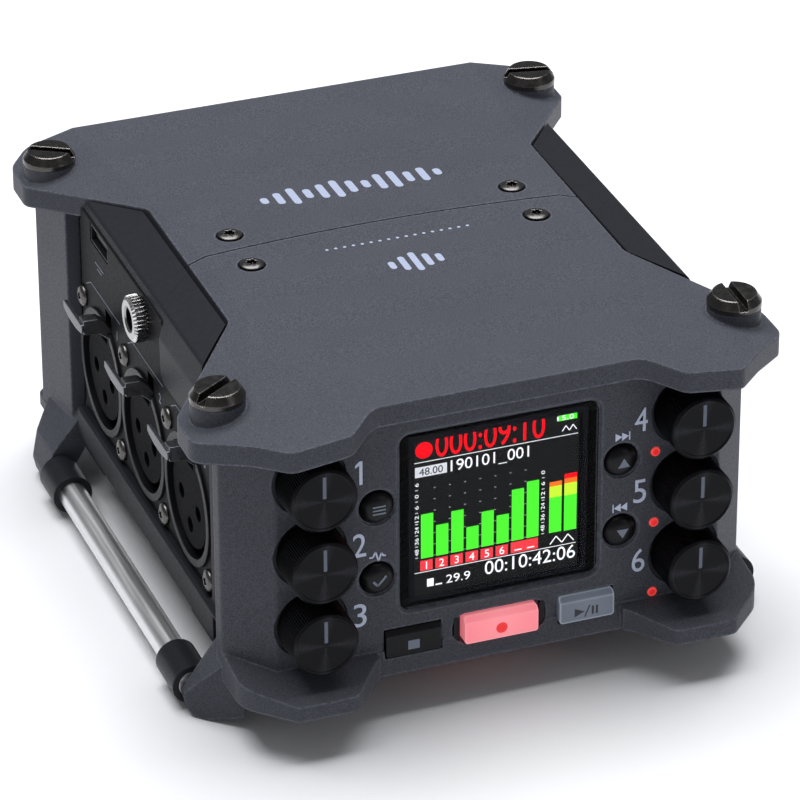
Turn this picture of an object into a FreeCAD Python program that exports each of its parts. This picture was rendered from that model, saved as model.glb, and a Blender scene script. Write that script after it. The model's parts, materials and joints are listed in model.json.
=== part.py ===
import FreeCAD, Part
import Sketcher
import math
import os
import re

from FreeCAD import Rotation, Vector

# Portable six-input field recorder, in millimetres.
# +X is the user's right, the front faces -Y, +Z is up, and the feet stand on z = 0.

doc = FreeCAD.newDocument("FieldRecorder")
sheet = doc.addObject("Spreadsheet::Sheet", "Sizes")

SIZES = [
    # castings
    ("front_face", 50.9, "front face of the front panel, behind the middle"),
    ("rear_face", 53.0, "rear face of the rear panel"),
    ("body_half", 43.6, "half width over the front corner columns"),
    ("rear_half", 44.2, "half width over the rear corner columns"),
    ("wall", 2.5, "wall of the castings"),
    ("bottom_edge", 8.0, "underside of the castings"),
    ("crown", 58.4, "top face at the seam between the two castings"),
    ("plate_skin", 3.5, "thickness of the top plates"),
    ("crown_tilt", 0.95, "fall of each top plate away from the seam, degrees"),
    ("ear_tilt_front", 7.6, "fall of each front ear beyond its crease, degrees"),
    ("ear_tilt_rear", 14.5, "fall of each rear ear beyond its crease, degrees"),
    ("ear_half", 48.7, "half width over the front ears"),
    ("rear_ear_half", 47.9, "half width over the rear ears"),
    ("neck_half", 33.3, "half width of the top plates at the side notches"),
    ("neck_end", 20.2, "end of the straight side of each notch"),
    ("visor_mid", 54.1, "front edge of the top plate between its ears"),
    ("visor_ear", 59.3, "front edge of the top plate at its ears"),
    ("rear_edge", 53.7, "rear edge of the top plate"),
    ("foot_ear", 59.9, "front edge of the lower lip at its ears"),
    ("foot_corner", 96.5, "x + y of the lower lip's 45 degree corners"),
    ("foot_mid", 52.1, "front edge of the lower lip between its ears"),
    ("shelf", 12.1, "height where the lower lip meets the front face"),
    ("ear_corner", 96.0, "x + y of the ears' 45 degree corners"),
    ("column_corner", 87.8, "x + y of the front columns' 45 degree corners"),
    ("rear_leg_corner", 89.6, "x + y of the rear legs' 45 degree corners"),
    ("seam_bow", 2.0, "how far the seam bows back at the middle"),
    ("seam_gap", 0.4, "gap between the two castings along the seam"),
    # corner screws
    ("post_x", 42.7, "corner screws across"),
    ("post_front", 42.1, "front corner screws, forward of the middle"),
    ("post_rear", 44.1, "rear corner screws, behind the middle"),
    ("post_top", 59.2, "top of the corner screws"),
    ("post_radius", 4.36, "corner screw heads"),
    ("post_cone", 1.3, "height of the bevel on the corner screw heads"),
    ("post_rim", 0.85, "straight height of the corner screw heads"),
    ("post_ring", 1.4, "height of the seat ring under each corner screw"),
    ("post_slot", 1.5, "width of the screwdriver slots"),
    ("post_shank", 1.7, "radius of the corner screws' shanks"),
    # strap bars
    ("bar_x", 46.4, "strap bars across"),
    ("bar_z", 4.2, "strap bars above the floor"),
    ("bar_radius", 2.33, "strap bars"),
    ("spigot_radius", 1.2, "spigots at the ends of the strap bars"),
    ("collar_radius", 3.37, "rubber collars on the strap bars"),
    ("collar_front_in", 29.3, "inner ends of the front collars"),
    ("collar_front_out", 37.8, "outer ends of the front collars"),
    ("collar_rear_in", 25.2, "inner ends of the rear collars"),
    ("collar_rear_out", 33.0, "outer ends of the rear collars"),
    # knobs
    ("knob_x", 31.2, "track knobs across"),
    ("knob_low", 19.5, "height of the lowest track knobs"),
    ("knob_pitch", 12.77, "step between the track knobs"),
    ("knob_radius", 5.45, "track knobs"),
    ("knob_front", 57.8, "front faces of the track knobs"),
    ("knob_back", 50.3, "rear faces of the track knobs"),
    ("stem_radius", 3.0, "stems of the track knobs"),
    ("running_gap", 0.05, "radial clearance of a turning fit"),
    # buttons
    ("key_gap", 0.2, "clearance round the buttons"),
    ("key_x", 20.3, "round buttons across"),
    ("key_low", 25.4, "height of the lower round buttons"),
    ("key_high", 38.1, "height of the upper round buttons"),
    ("key_radius", 2.7, "round buttons"),
    ("key_front", 51.9, "front faces of the round buttons"),
    ("bar_key_z", 13.2, "height of the three transport buttons"),
    ("bar_key_tall", 4.6, "height over the transport buttons"),
    ("stop_wide", 9.2, "width of the stop and play buttons"),
    ("record_wide", 12.3, "width of the record button"),
    ("stop_x", 14.5, "stop and play buttons across"),
    ("led_x", 26.0, "track lights across"),
    ("led_drop", 6.5, "track lights below their knobs"),
    ("latch_arm", 2.2, "width of the socket latches' arms"),
    ("led_radius", 0.76, "track lights"),
    # screen
    ("glass_half", 16.4, "half width of the screen glass"),
    ("glass_low", 18.45, "lower edge of the screen glass"),
    ("glass_high", 49.55, "upper edge of the screen glass"),
    ("glass_corner", 1.8, "corner radius of the screen glass"),
    # side
    ("side_face", 41.4, "outer face of the input panels"),
    ("cover_face", 41.9, "outer face of the side covers"),
    ("side_front", 41.2, "front end of the side covers"),
    ("side_rear", 32.3, "rear end of the side covers"),
    ("socket_pitch", 22.1, "step between the input sockets"),
    ("socket_mid", -0.6, "middle socket, along Y"),
    ("socket_z", 28.6, "height of the input sockets"),
    ("socket_bore", 9.65, "bore of the input sockets"),
    ("socket_rim", 10.9, "outer radius of the sockets' rims"),
    ("insert_radius", 8.1, "insulators of the input sockets"),
    ("socket_depth", 17.0, "depth of the input sockets"),
    ("side_screw", 9.6, "side screws from each socket's axis, both ways"),
    ("jack_z", 50.1, "height of the small jacks"),
    ("jack_y", -0.9, "front small jack, along Y"),
    ("jack_bore", 1.8, "bore of the small jacks"),
    ("jack_length", 15.0, "depth of the small jacks' bores"),
    ("port_y", 21.8, "data port, along Y"),
    ("port_z", 52.3, "height of the data port"),
    ("jack_proud", 2.1, "left jack's bushing in front of the panel"),
    ("output_proud", 0.5, "right jacks' bushings in front of the panel"),
    ("dial_x", 36.6, "volume dial across"),
    ("dial_z", 47.2, "underside of the volume dial"),
    ("dial_tall", 3.2, "height of the volume dial"),
    ("dial_radius", 6.0, "volume dial"),
    # base and power
    ("base_low", 10.2, "underside of the base plate"),
    ("base_skin", 2.0, "base plate"),
    ("bush_radius", 3.2, "bore of the tripod bush"),
    ("bush_length", 8.0, "length of the tripod bush"),
    ("tray_half", 15.2, "half width of the battery tray"),
    ("tray_low", 14.0, "underside of the battery tray"),
    ("tray_tall", 31.0, "height of the battery tray"),
    ("tray_deep", 54.0, "depth of the battery tray"),
    ("cell_radius", 7.2, "battery cells"),
    ("cell_length", 50.0, "battery cells"),
]

for row, (alias, value, note) in enumerate(SIZES, start=1):
    sheet.set(f"A{row}", note)
    sheet.set(f"B{row}", str(value))
    sheet.setAlias(f"B{row}", alias)
doc.recompute()

ALIASES = {alias for alias, _, _ in SIZES}
WORD = re.compile(r"[a-z_]+[a-z]")
AXES = {"X": Vector(1, 0, 0), "Y": Vector(0, 1, 0), "Z": Vector(0, 0, 1)}
TURN = {"X": Rotation(Vector(0, 1, 0), 90), "Y": Rotation(Vector(1, 0, 0), -90), "Z": Rotation()}


def size(alias):
    """The value of one cell."""
    return float(sheet.get(alias))


def cells(text):
    """Points each alias in an expression at the sheet."""
    return WORD.sub(lambda m: "Sizes." + m.group(0) if m.group(0) in ALIASES else m.group(0), str(text))


def bind(item, **expressions):
    for prop, text in expressions.items():
        item.setExpression(prop, cells(text))
    return item


def move(item, at):
    """Binds an object's position, given as three expressions."""
    for letter, text in zip("xyz", at):
        item.setExpression("Placement.Base." + letter, cells(text))
    return item


def box(name, low, span):
    item = doc.addObject("Part::Box", name)
    bind(item, Length=span[0], Width=span[1], Height=span[2])
    return move(item, low)


def cylinder(name, radius, length, at, axis="Z"):
    item = doc.addObject("Part::Cylinder", name)
    item.Placement.Rotation = TURN[axis]
    bind(item, Radius=radius, Height=length)
    return move(item, at)


def cone(name, radius, top_radius, length, at, axis="Z"):
    item = doc.addObject("Part::Cone", name)
    item.Placement.Rotation = TURN[axis]
    bind(item, Radius1=radius, Radius2=top_radius, Height=length)
    return move(item, at)


def fuse(name, items):
    item = doc.addObject("Part::MultiFuse", name)
    item.Shapes = items
    return item


def common(name, items):
    item = doc.addObject("Part::MultiCommon", name)
    item.Shapes = items
    return item


def cut(name, base, tools):
    item = doc.addObject("Part::Cut", name)
    item.Base = base
    item.Tool = tools[0] if len(tools) == 1 else fuse(name + "_tools", tools)
    return item


def group(name, items):
    """Separate identical pieces that share one node."""
    item = doc.addObject("Part::Compound", name)
    item.Links = items
    return item


def rounded_wire(points, plane="XY"):
    """A closed outline through (u, v, corner radius) points, as lines and tangent arcs."""
    place = {
        "XY": lambda u, v: Vector(u, v, 0),
        "XZ": lambda u, v: Vector(u, 0, v),
        "YZ": lambda u, v: Vector(0, u, v),
    }[plane]
    spots = [place(u, v) for u, v, _ in points]
    edges = []
    last_end = None
    first_start = None
    for i, corner in enumerate(spots):
        before = (spots[i - 1] - corner).normalize()
        after = (spots[(i + 1) % len(spots)] - corner).normalize()
        radius = points[i][2]
        half = before.getAngle(after) / 2
        if radius > 0:
            reach = radius / math.tan(half)
            start = corner + before * reach
            end = corner + after * reach
            middle = corner + (before + after).normalize() * (radius / math.sin(half) - radius)
        else:
            start = end = corner
        if last_end is not None and (start - last_end).Length > 1e-6:
            edges.append(Part.LineSegment(last_end, start).toShape())
        if radius > 0:
            edges.append(Part.Arc(start, middle, end).toShape())
        if first_start is None:
            first_start = start
        last_end = end
    edges.append(Part.LineSegment(last_end, first_start).toShape())
    return Part.Wire(edges)


def prism(name, points, axis, start, length, taper=0):
    """An outline in the plane across the axis, swept along the axis from start."""
    plane = {"X": "YZ", "Y": "XZ", "Z": "XY"}[axis]
    outline = doc.addObject("Part::Feature", name + "_outline")
    outline.Shape = Part.Face(rounded_wire(points, plane))
    item = doc.addObject("Part::Extrusion", name)
    item.Base = outline
    item.DirMode = "Custom"
    item.Dir = AXES[axis]
    item.Solid = True
    item.TaperAngle = taper
    bind(item, LengthFwd=length)
    item.setExpression("Placement.Base." + axis.lower(), cells(start))
    return item


def mirrored(points):
    """A right half outline, from front to back, and its mirror image on the left."""
    return points + [(-u, v, r) for u, v, r in reversed(points)]


def half_space(name, point, direction, tilt):
    """A large block whose lower face passes through point and falls by tilt towards direction."""
    reach = 300
    item = doc.addObject("Part::Box", name)
    bind(item, Length=reach, Width=reach, Height=40)
    across = Vector(-direction.y, direction.x, 0)
    heading = math.degrees(math.atan2(direction.y, direction.x))
    turn = Rotation(across, tilt) * Rotation(Vector(0, 0, 1), heading)
    offset = turn.multVec(Vector(-reach / 2, -reach / 2, 0))
    item.Placement = FreeCAD.Placement(point + offset, turn)
    return item


# ---------------------------------------------------------------- top surface

EARS = {
    # crease of each ear, from the notch towards the outer edge of the plate
    "front": (Vector(33.4, -20.0, 0), Vector(19.0, -54.0, 0)),
    "rear": (Vector(33.4, 20.4, 0), Vector(34.6, 53.6, 0)),
}


def under_roof(name, drop):
    """Everything below the crowned top surface, lowered by drop."""
    crown = size("crown") - drop
    fall = math.tan(math.radians(size("crown_tilt")))
    block = box(name + "_block", (-60, -70, 0), (120, 140, crown + 5))
    tools = []
    for end, sign in (("front", -1), ("rear", 1)):
        tools.append(half_space(f"{name}_{end}", Vector(0, 0, crown), Vector(0, sign, 0), size("crown_tilt")))
        near, far = EARS[end]
        middle = (near + far) * 0.5
        middle.z = crown - fall * abs(middle.y)
        for side in (-1, 1):
            outward = Vector((far - near).y * sign, -(far - near).x * sign, 0).normalize()
            outward.x *= side
            spot = Vector(side * middle.x, middle.y, middle.z)
            label = f"{name}_{end}_{'left' if side < 0 else 'right'}"
            tools.append(half_space(label, spot, outward, size("ear_tilt_" + end)))
    return cut(name, block, tools)


roof = under_roof("roof", 0)
ceiling = under_roof("ceiling", size("plate_skin"))
under_plates = under_roof("under_plates", size("plate_skin") + 0.15)


def ear_height(x, y):
    """Height of the sloped top of an ear at (x, y)."""
    end, sign = ("front", -1) if y < 0 else ("rear", 1)
    near, far = EARS[end]
    outward = Vector((far - near).y * sign, -(far - near).x * sign, 0).normalize()
    middle = (near + far) * 0.5
    height = size("crown") - math.tan(math.radians(size("crown_tilt"))) * abs(middle.y)
    away = (Vector(abs(x), y, 0) - middle).dot(outward)
    return height - math.tan(math.radians(size("ear_tilt_" + end))) * away


def plate_outline(end, grow=0.0):
    """Right half of a top plate's outline, from its outer edge to the seam."""
    neck = size("neck_half") + grow
    neck_end = size("neck_end") - grow
    ear = size("ear_half" if end == "front" else "rear_ear_half") + grow
    corner = size("ear_corner") + grow
    if end == "front":
        visor_ear = size("visor_ear") + grow
        visor_mid = size("visor_mid") + grow
        return [
            (22.3, -visor_mid, 4.2),
            (27.2, -visor_ear, 2.5),
            (corner - visor_ear, -visor_ear, 2.5),
            (ear, -(corner - ear), 4.5),
            (ear, -39.7, 4.0),
            (neck, -neck_end, 3.0),
        ]
    return [
        (neck, neck_end, 3.0),
        (ear, 41.6, 3.5),
        (ear, 49.2 + 0.4 * grow, 4.0),
        (43.8 + 0.4 * grow, size("rear_edge") + grow, 4.0),
    ]


def seam_edge(end):
    """The bowed edge of a top plate: left end, middle and right end of an arc."""
    shift = -size("seam_gap") / 2 if end == "front" else size("seam_gap") / 2
    ends_y = -0.3 + shift
    return ends_y, size("seam_bow") + shift


def top_plate(end):
    """One half of the top, with a bowed seam, four bent ears and an even skin."""
    half = plate_outline(end)
    ends_y, bow_y = seam_edge(end)
    neck = size("neck_half")
    if end == "front":
        outline = [(neck, ends_y, 0)] + [(-neck, ends_y, 0)]
        points = mirrored(half)[:len(half)] + outline + mirrored(half)[len(half):]
    else:
        points = [(neck, ends_y, 0)] + half + [(-u, v, r) for u, v, r in reversed(half)] + [(-neck, ends_y, 0)]
    blank = prism(f"{end}_top_blank", points, "Z", 40, 30)
    bow = doc.addObject("Part::Feature", f"{end}_bow_outline")
    arc = Part.Arc(Vector(-neck, ends_y, 0), Vector(0, bow_y, 0), Vector(neck, ends_y, 0)).toShape()
    chord = Part.LineSegment(Vector(neck, ends_y, 0), Vector(-neck, ends_y, 0)).toShape()
    bow.Shape = Part.Face(Part.Wire([arc, chord]))
    bow_block = doc.addObject("Part::Extrusion", f"{end}_bow")
    bow_block.Base = bow
    bow_block.DirMode = "Custom"
    bow_block.Dir = AXES["Z"]
    bow_block.Solid = True
    bind(bow_block, LengthFwd=30)
    bow_block.setExpression("Placement.Base.z", "40")
    if end == "front":
        shaped = fuse(f"{end}_top_shaped", [blank, bow_block])
    else:
        shaped = cut(f"{end}_top_shaped", blank, [bow_block])
    skin = common(f"{end}_top_skin", [shaped, roof])
    return cut(f"{end}_top_plate", skin, [ceiling])


def seat_ring(name, x, y):
    """The raised ring that a corner screw sits on, down into the ear."""
    low = ear_height(x, y) - 2.0
    top = size("post_top") - size("post_cone") - size("post_rim")
    return cylinder(name, "post_radius - 0.06", top - low, (x, y, low))


def corner_posts():
    for x_side in (-1, 1):
        for end, y in (("front", -size("post_front")), ("rear", size("post_rear"))):
            yield f"{end}_{'left' if x_side < 0 else 'right'}", x_side * size("post_x"), y


def leg(name, side, end):
    """A leg that runs out and down from a corner of the casting to the strap bar."""
    sign = -1 if end == "front" else 1
    bar_x = size("bar_x")
    bar_z = size("bar_z")
    if end == "front":
        root = size("body_half") - 2.6
        upper = [(root, 14.3, 0), (bar_x + 0.2, 6.6, 1.2)]
        lower = [(bar_x - 0.8, 0, 1.2), (root, 2.0, 1.0)]
    else:
        root = size("rear_half") - 2.6
        upper = [(root, 15.0, 0), (bar_x + 0.9, 8.0, 1.2)]
        lower = [(bar_x - 1.5, 0, 1.6), (bar_x - 3.2, 5.4, 1.5)]
    outer = [(bar_x + 2.2, bar_z - 0.4, 2.2), (bar_x + 1.2, 0, 1.6)]
    half = [(root, size("bottom_edge"), 0)] + upper + outer + lower
    points = [(side * x, z, radius) for x, z, radius in half]
    inner = size(f"collar_{end}_out") + 0.3
    far = 50.0
    start = inner if sign > 0 else -far
    arm = prism(name + "_arm", points, "Y", start, far - inner)
    corner = size("column_corner") if end == "front" else size("rear_leg_corner")
    reach = 60
    keep = box(name + "_keep", (-reach, -reach, -5), (2 * reach, 2 * reach, 40))
    heading = math.degrees(math.atan2(sign, side))
    keep.Placement.Rotation = Rotation(Vector(0, 0, 1), heading)
    middle = Vector(side, sign, 0).normalize() * (corner / math.sqrt(2) - 2 * reach)
    low = middle + Rotation(Vector(0, 0, 1), heading).multVec(Vector(0, -reach, 0))
    for letter in "xyz":
        keep.setExpression("Placement.Base." + letter, None)
    keep.Placement.Base = Vector(low.x, low.y, -5)
    return common(name, [arm, keep])


# ---------------------------------------------------------------- front panel

KNOB_ROWS = ("knob_low + 2 * knob_pitch", "knob_low + knob_pitch", "knob_low")


def knob_places():
    """Number, side and height expression of each track knob, 1 to 6."""
    for column, side in enumerate((-1, 1)):
        for row, height in enumerate(KNOB_ROWS):
            yield 3 * column + row + 1, side, height


ROUND_KEYS = {
    "menu_button": (-1, "key_high"),
    "enter_button": (-1, "key_low"),
    "forward_button": (1, "key_high"),
    "back_button": (1, "key_low"),
}
TRANSPORT_KEYS = {
    "stop_button": ("-stop_x", "stop_wide"),
    "record_button": ("0", "record_wide"),
    "play_button": ("stop_x", "stop_wide"),
}


def front_panel():
    front = size("front_face")
    half = size("body_half")
    corner = size("column_corner")
    wall = size("wall")
    flat = corner - front
    outer = [(flat, -front, 1.0), (half, -(corner - half), 1.2), (half, -41.5, 0)]
    inside = wall * math.sqrt(2) - wall
    inner = [(half - wall, -41.5, 0), (half - wall, -(corner - half) + inside, 0),
             (flat - inside, -front + wall, 0)]
    ring = outer + inner
    shell_outline = ring + [(-u, v, r) for u, v, r in reversed(ring)]
    shell = prism("front_shell", shell_outline, "Z", "bottom_edge", 52)
    shell_top = common("front_shell_top", [shell, roof])

    lip_points = mirrored([
        (20.5, -size("foot_mid"), 4.2),
        (26.6, -size("foot_ear"), 2.5),
        (size("foot_corner") - size("foot_ear"), -size("foot_ear"), 2.0),
        (half, -(size("foot_corner") - half), 7.0),
        (half, -43.0, 0),
    ])
    lip = prism("front_lip", lip_points, "Z", "bottom_edge", "shelf - bottom_edge + 1.4")
    slope_run = size("foot_ear") - size("front_face")
    slope = math.degrees(math.atan2(1.5, slope_run))
    lip_slope = half_space("lip_slope", Vector(0, -size("front_face") + 0.6, size("shelf") + 0.1),
                           Vector(0, -1, 0), slope)
    room = [(flat - inside, -front + wall, 0), (half - wall, -(corner - half) + inside, 0), (half - wall, -30, 0)]
    lip_inside = prism("lip_inside", mirrored(room), "Z", 0, 30)
    lip_mid = [(-front, 13.6, 0), (-front - 1.35, 7, 0), (-front - 9, 7, 0), (-front - 9, 15, 0), (-front, 15, 0)]
    lip_low = prism("lip_low", lip_mid, "X", -20.4, 40.8)
    lip_cut = cut("front_lip_cut", lip, [lip_slope, lip_inside, lip_low])

    rings = [seat_ring("seat_" + name, x, y) for name, x, y in corner_posts() if y < 0]
    legs = [leg(f"front_{'left' if side < 0 else 'right'}_leg", side, "front") for side in (-1, 1)]
    solid = fuse("front_casting", [top_plate("front"), shell_top, lip_cut] + rings + legs)

    tools = []
    for name, x, y in corner_posts():
        if y < 0:
            tools.append(cylinder("tap_" + name, "post_shank + 0.1", 10, (x, y, 52.2)))
    for number, side, height in knob_places():
        where = (f"{side} * knob_x", "-front_face - 1", height)
        tools.append(cylinder(f"knob_seat_{number}", "knob_radius + 0.55", "1 + 0.9", where, "Y"))
        tools.append(cylinder(f"knob_hole_{number}", "stem_radius + 0.3", 8, where, "Y"))
        led = (f"{side} * led_x", "-front_face - 1", height + " - led_drop")
        tools.append(cylinder(f"led_hole_{number}", "led_radius + 0.05", 8, led, "Y"))
    for name, (side, height) in ROUND_KEYS.items():
        where = (f"{side} * key_x", "-front_face - 1", height)
        tools.append(cylinder(name + "_hole", "key_radius + key_gap", 8, where, "Y"))
        tools.append(cylinder(name + "_dish", "key_radius + 0.5", "1 + 0.3", where, "Y"))
    for name, (x, wide) in TRANSPORT_KEYS.items():
        low = (f"{x} - {wide} / 2 - key_gap", "-front_face - 4", "bar_key_z - bar_key_tall / 2 - key_gap")
        tools.append(box(name + "_hole", low, (f"{wide} + 2 * key_gap", 12, "bar_key_tall + 2 * key_gap")))
    key_low = size("bar_key_z") - size("bar_key_tall") / 2 - size("key_gap")
    key_high = key_low + size("bar_key_tall") + 2 * size("key_gap")
    dish = [(-7.9, key_low, 2.4), (7.9, key_low, 2.4), (7.9, key_high + 0.2, 2.4), (-7.9, key_high + 0.2, 2.4)]
    tools.append(prism("record_dish", dish, "Y", "-front_face - 4", "4 + 0.6"))

    low = size("glass_low")
    high = size("glass_high")
    wide = size("glass_half")
    radius = size("glass_corner")

    def glass_frame(grow):
        return [(-wide - grow, low - grow, radius + grow), (wide + grow, low - grow, radius + grow),
                (wide + grow, high + grow, radius + grow), (-wide - grow, high + grow, radius + grow)]

    tools.append(prism("glass_pocket", glass_frame(0.15), "Y", "-front_face - 2", "2 + 0.76"))
    tools.append(prism("glass_bevel", glass_frame(0.75), "Y", "-front_face - 0.1", "0.5", -45))
    tools.append(box("window", ("-14.8", "-front_face", 19.3), (29.6, 8, 29.4)))
    for side in (-1, 1):
        tools += seam_screw_room(side, "front")
        tools.append(bar_socket("front", side))
    return cut("front_panel", solid, tools)


def bar_socket(end, side):
    """The blind hole in a leg that holds the end of a strap bar."""
    start = "-collar_front_out - 1.7" if end == "front" else "collar_rear_out - 1"
    return cylinder(f"bar_socket_{end}_{'left' if side < 0 else 'right'}", "spigot_radius + 0.02", 4.5,
                    (f"{side} * bar_x", start, "bar_z"), "Y")


SEAM_SCREWS = {"front": -5.0, "rear": 5.8}
SEAM_SCREW_X = 24.3


def seam_screw_top(y):
    return size("crown") - math.tan(math.radians(size("crown_tilt"))) * abs(y) + 0.55


def seam_screw_room(side, end):
    y = SEAM_SCREWS[end]
    top = seam_screw_top(y)
    label = f"{end}_{'left' if side < 0 else 'right'}"
    return [
        cylinder("seam_recess_" + label, 2.3, 5, (side * SEAM_SCREW_X, y, top - 1.6)),
        cylinder("seam_hole_" + label, 1.1, 9, (side * SEAM_SCREW_X, y, top - 8)),
    ]


# ---------------------------------------------------------------- rear panel

DOOR_HALF = 19.0
DOOR_LOW = 12.6
DOOR_TALL = 35.4
CARD_SLOT = (22.5, 41.0, 17.0, 4.6)


def rear_panel():
    rear = size("rear_face")
    half = size("rear_half")
    wall = size("wall")
    ring = [
        (half - 1.1, 35.0, 0),
        (half, 48.8, 1.5),
        (half - 3.4, rear, 1.5),
    ]
    back = [
        (half - 3.4 - wall * 0.6, rear - wall, 0),
        (half - wall, 48.8 - wall * 0.6, 0),
        (half - 1.1 - wall, 35.0, 0),
    ]
    outline = ring + [(-u, v, r) for u, v, r in reversed(ring)]
    outline += [(-u, v, r) for u, v, r in reversed(back)] + back
    shell = prism("rear_shell", outline, "Z", "bottom_edge", 52)
    shell_top = common("rear_shell_top", [shell, roof])
    lip_points = [
        (half, 46.0, 0),
        (half, 51.0, 2.0),
        (half - 4.6, 55.8, 2.0),
        (-half + 4.6, 55.8, 2.0),
        (-half, 51.0, 2.0),
        (-half, 46.0, 0),
    ]
    lip = prism("rear_lip", lip_points, "Z", "bottom_edge", 2.0)
    lip_inside = box("rear_lip_inside", ("-rear_half + wall", 30, 0), ("2 * (rear_half - wall)", 20.5, 30))
    lip_cut = cut("rear_lip_cut", lip, [lip_inside])
    rings = [seat_ring("seat_" + name, x, y) for name, x, y in corner_posts() if y > 0]
    legs = [leg(f"rear_{'left' if side < 0 else 'right'}_leg", side, "rear") for side in (-1, 1)]
    solid = fuse("rear_casting", [top_plate("rear"), shell_top, lip_cut] + rings + legs)
    tools = []
    for name, x, y in corner_posts():
        if y > 0:
            tools.append(cylinder("tap_" + name, "post_shank + 0.1", 10, (x, y, 52.2)))
    for side in (-1, 1):
        tools += seam_screw_room(side, "rear")
        tools.append(bar_socket("rear", side))
        tools.append(side_cylinder(f"rear_screw_room_{side_name(side)}", side, 2.1, "38", "8",
                                   socket_y(1) + " + side_screw", "socket_z + side_screw"))
    tools.append(box("tray_mouth", ("-tray_half - 0.4", 45, "tray_low - 0.4"),
                     ("2 * tray_half + 0.8", 15, "tray_tall + 0.8")))
    x, z, wide, tall = CARD_SLOT
    tools.append(box("card_mouth", (x, 45, z), (wide, 15, tall)))
    return cut("rear_panel", solid, tools)


# ---------------------------------------------------------------- sides

SOCKETS = {1: (-1, 1), 2: (-1, 0), 3: (-1, -1), 4: (1, 1), 5: (1, 0), 6: (1, -1)}


def side_name(side):
    return "left" if side < 0 else "right"


def socket_y(step):
    return f"(socket_mid + {step} * socket_pitch)"


def along(side, inner, length):
    """Start and length of a stretch from inner to inner + length, measured outward from the middle."""
    if side > 0:
        return inner
    return f"-({inner}) - ({length})"


def side_cylinder(name, side, radius, inner, length, y, z):
    return cylinder(name, radius, length, (along(side, inner, length), y, z), "X")


def side_box(name, side, inner, length, low, span):
    return box(name, (along(side, inner, length), low[0], low[1]), (length, span[0], span[1]))


def panel_outline(gap):
    """Outline of an input panel seen from the side: (y, z, corner radius)."""
    return [
        (-34.8 + gap, 16.7 + gap, 1.5),
        (32.1 - gap, 16.7 + gap, 0.5),
        (32.1 - gap, 54.4 - gap, 0.5),
        (-10.8 + gap, 54.4 - gap, 0.5),
        (-11.4 + gap, 44.3 - gap, 2.2),
        (-34.8 + gap, 44.3 - gap, 1.5),
    ]


def window_outline():
    """The input panel's opening, run out through the rear end of the cover."""
    points = panel_outline(0)
    points[1] = (34.0, points[1][1], 0)
    points[2] = (34.0, points[2][1], 0)
    return points


def plate_rooms(name):
    """Room for both top plates above what lies beneath them."""
    rooms = []
    for end in ("front", "rear"):
        half = plate_outline(end, 0.3)
        points = half + [(-u, v, r) for u, v, r in reversed(half)]
        space = prism(f"{name}_{end}_space", points, "Z", 47, 16)
        rooms.append(cut(f"{name}_{end}_room", space, [under_plates]))
    return rooms


def side_cover(side):
    face = size("cover_face")
    profile = [
        (side * 33.9, 57.3, 0.3),
        (side * 40.7, 55.8, 0.8),
        (side * face, 51.5, 3.0),
        (side * face, 17.2, 0.5),
        (side * (face + 1.0), 16.2, 0.4),
        (side * (face + 1.0), 10.9, 0.8),
        (side * 38.7, 10.4, 0),
        (side * 38.7, 12.4, 0),
        (side * 39.7, 14.5, 0),
        (side * 39.7, 51.5, 0),
        (side * 38.6, 54.1, 0),
        (side * 33.9, 55.1, 0),
    ]
    name = side_name(side) + "_side_cover"
    bar = prism(name + "_bar", profile, "Y", "-side_front", "side_front + side_rear")
    low_start = along(side, "38.9", "3.4")
    foot_front = box(name + "_skirt_front", (low_start, "-side_front", 9.8), (3.4, 16, 1.6))
    foot_rear = box(name + "_skirt_rear", (low_start, "side_rear - 12", 9.8), (3.4, 12, 1.6))
    solid = fuse(name + "_solid", [bar, foot_front, foot_rear])
    window = prism(name + "_window", window_outline(), "X", along(side, "37", "10"), 10)
    tools = [window] + plate_rooms(name)
    tools.append(side_box(name + "_leg_room", side, "40.7", "10", (-42, 5), (4.2, 10.9)))
    if side > 0:
        tools.append(box(name + "_switch_slot", (35, -29, 47.6), (10, 10, 3.2)))
    return cut(name, solid, tools)


def latch_start(side):
    """Where a latch's arm starts along Y, from the middle of its socket."""
    return -4.8 if side < 0 else 4.8 - size("latch_arm")


def input_panel(side):
    name = side_name(side) + "_input_panel"
    plate = prism(name + "_plate", panel_outline(0.12), "X", along(side, "side_face - 1.6", "1.6"), 1.6)
    tools = plate_rooms(name)
    for number, (socket_side, step) in SOCKETS.items():
        if socket_side != side:
            continue
        y = socket_y(step)
        inner = "side_face - 3"
        tools.append(side_cylinder(f"socket_hole_{number}", side, "socket_bore + 0.85", inner, "5", y, "socket_z"))
        tools.append(side_box(f"latch_slot_{number}", side, inner, "5",
                              (f"{y} + {latch_start(side)} - 0.4", "socket_z + 6"), ("latch_arm + 0.8", 6.9)))
        for sign in (-1, 1):
            tools.append(side_cylinder(f"screw_hole_{number}_{'upper' if sign > 0 else 'lower'}", side, "0.9",
                                       inner, "5", f"{y} + {sign} * side_screw", f"socket_z + {sign} * side_screw"))
    tools.append(side_cylinder(name + "_jack_hole", side, "3.1", "side_face - 3", "5", "jack_y", "jack_z"))
    if side < 0:
        tools.append(side_box("port_hole", side, "side_face - 3", "5", ("port_y - 4.6", "port_z - 1.75"), (9.2, 3.5)))
    else:
        tools.append(side_cylinder("line_hole", side, "3.1", "side_face - 3", "5", "jack_y + 11", "jack_z"))
        tools.append(side_box("dial_slot", side, "side_face - 3", "5", ("port_y - 5.4", "dial_z - 0.3"),
                              (10.8, "dial_tall + 0.6")))
    return cut(name, plate, tools)


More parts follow.
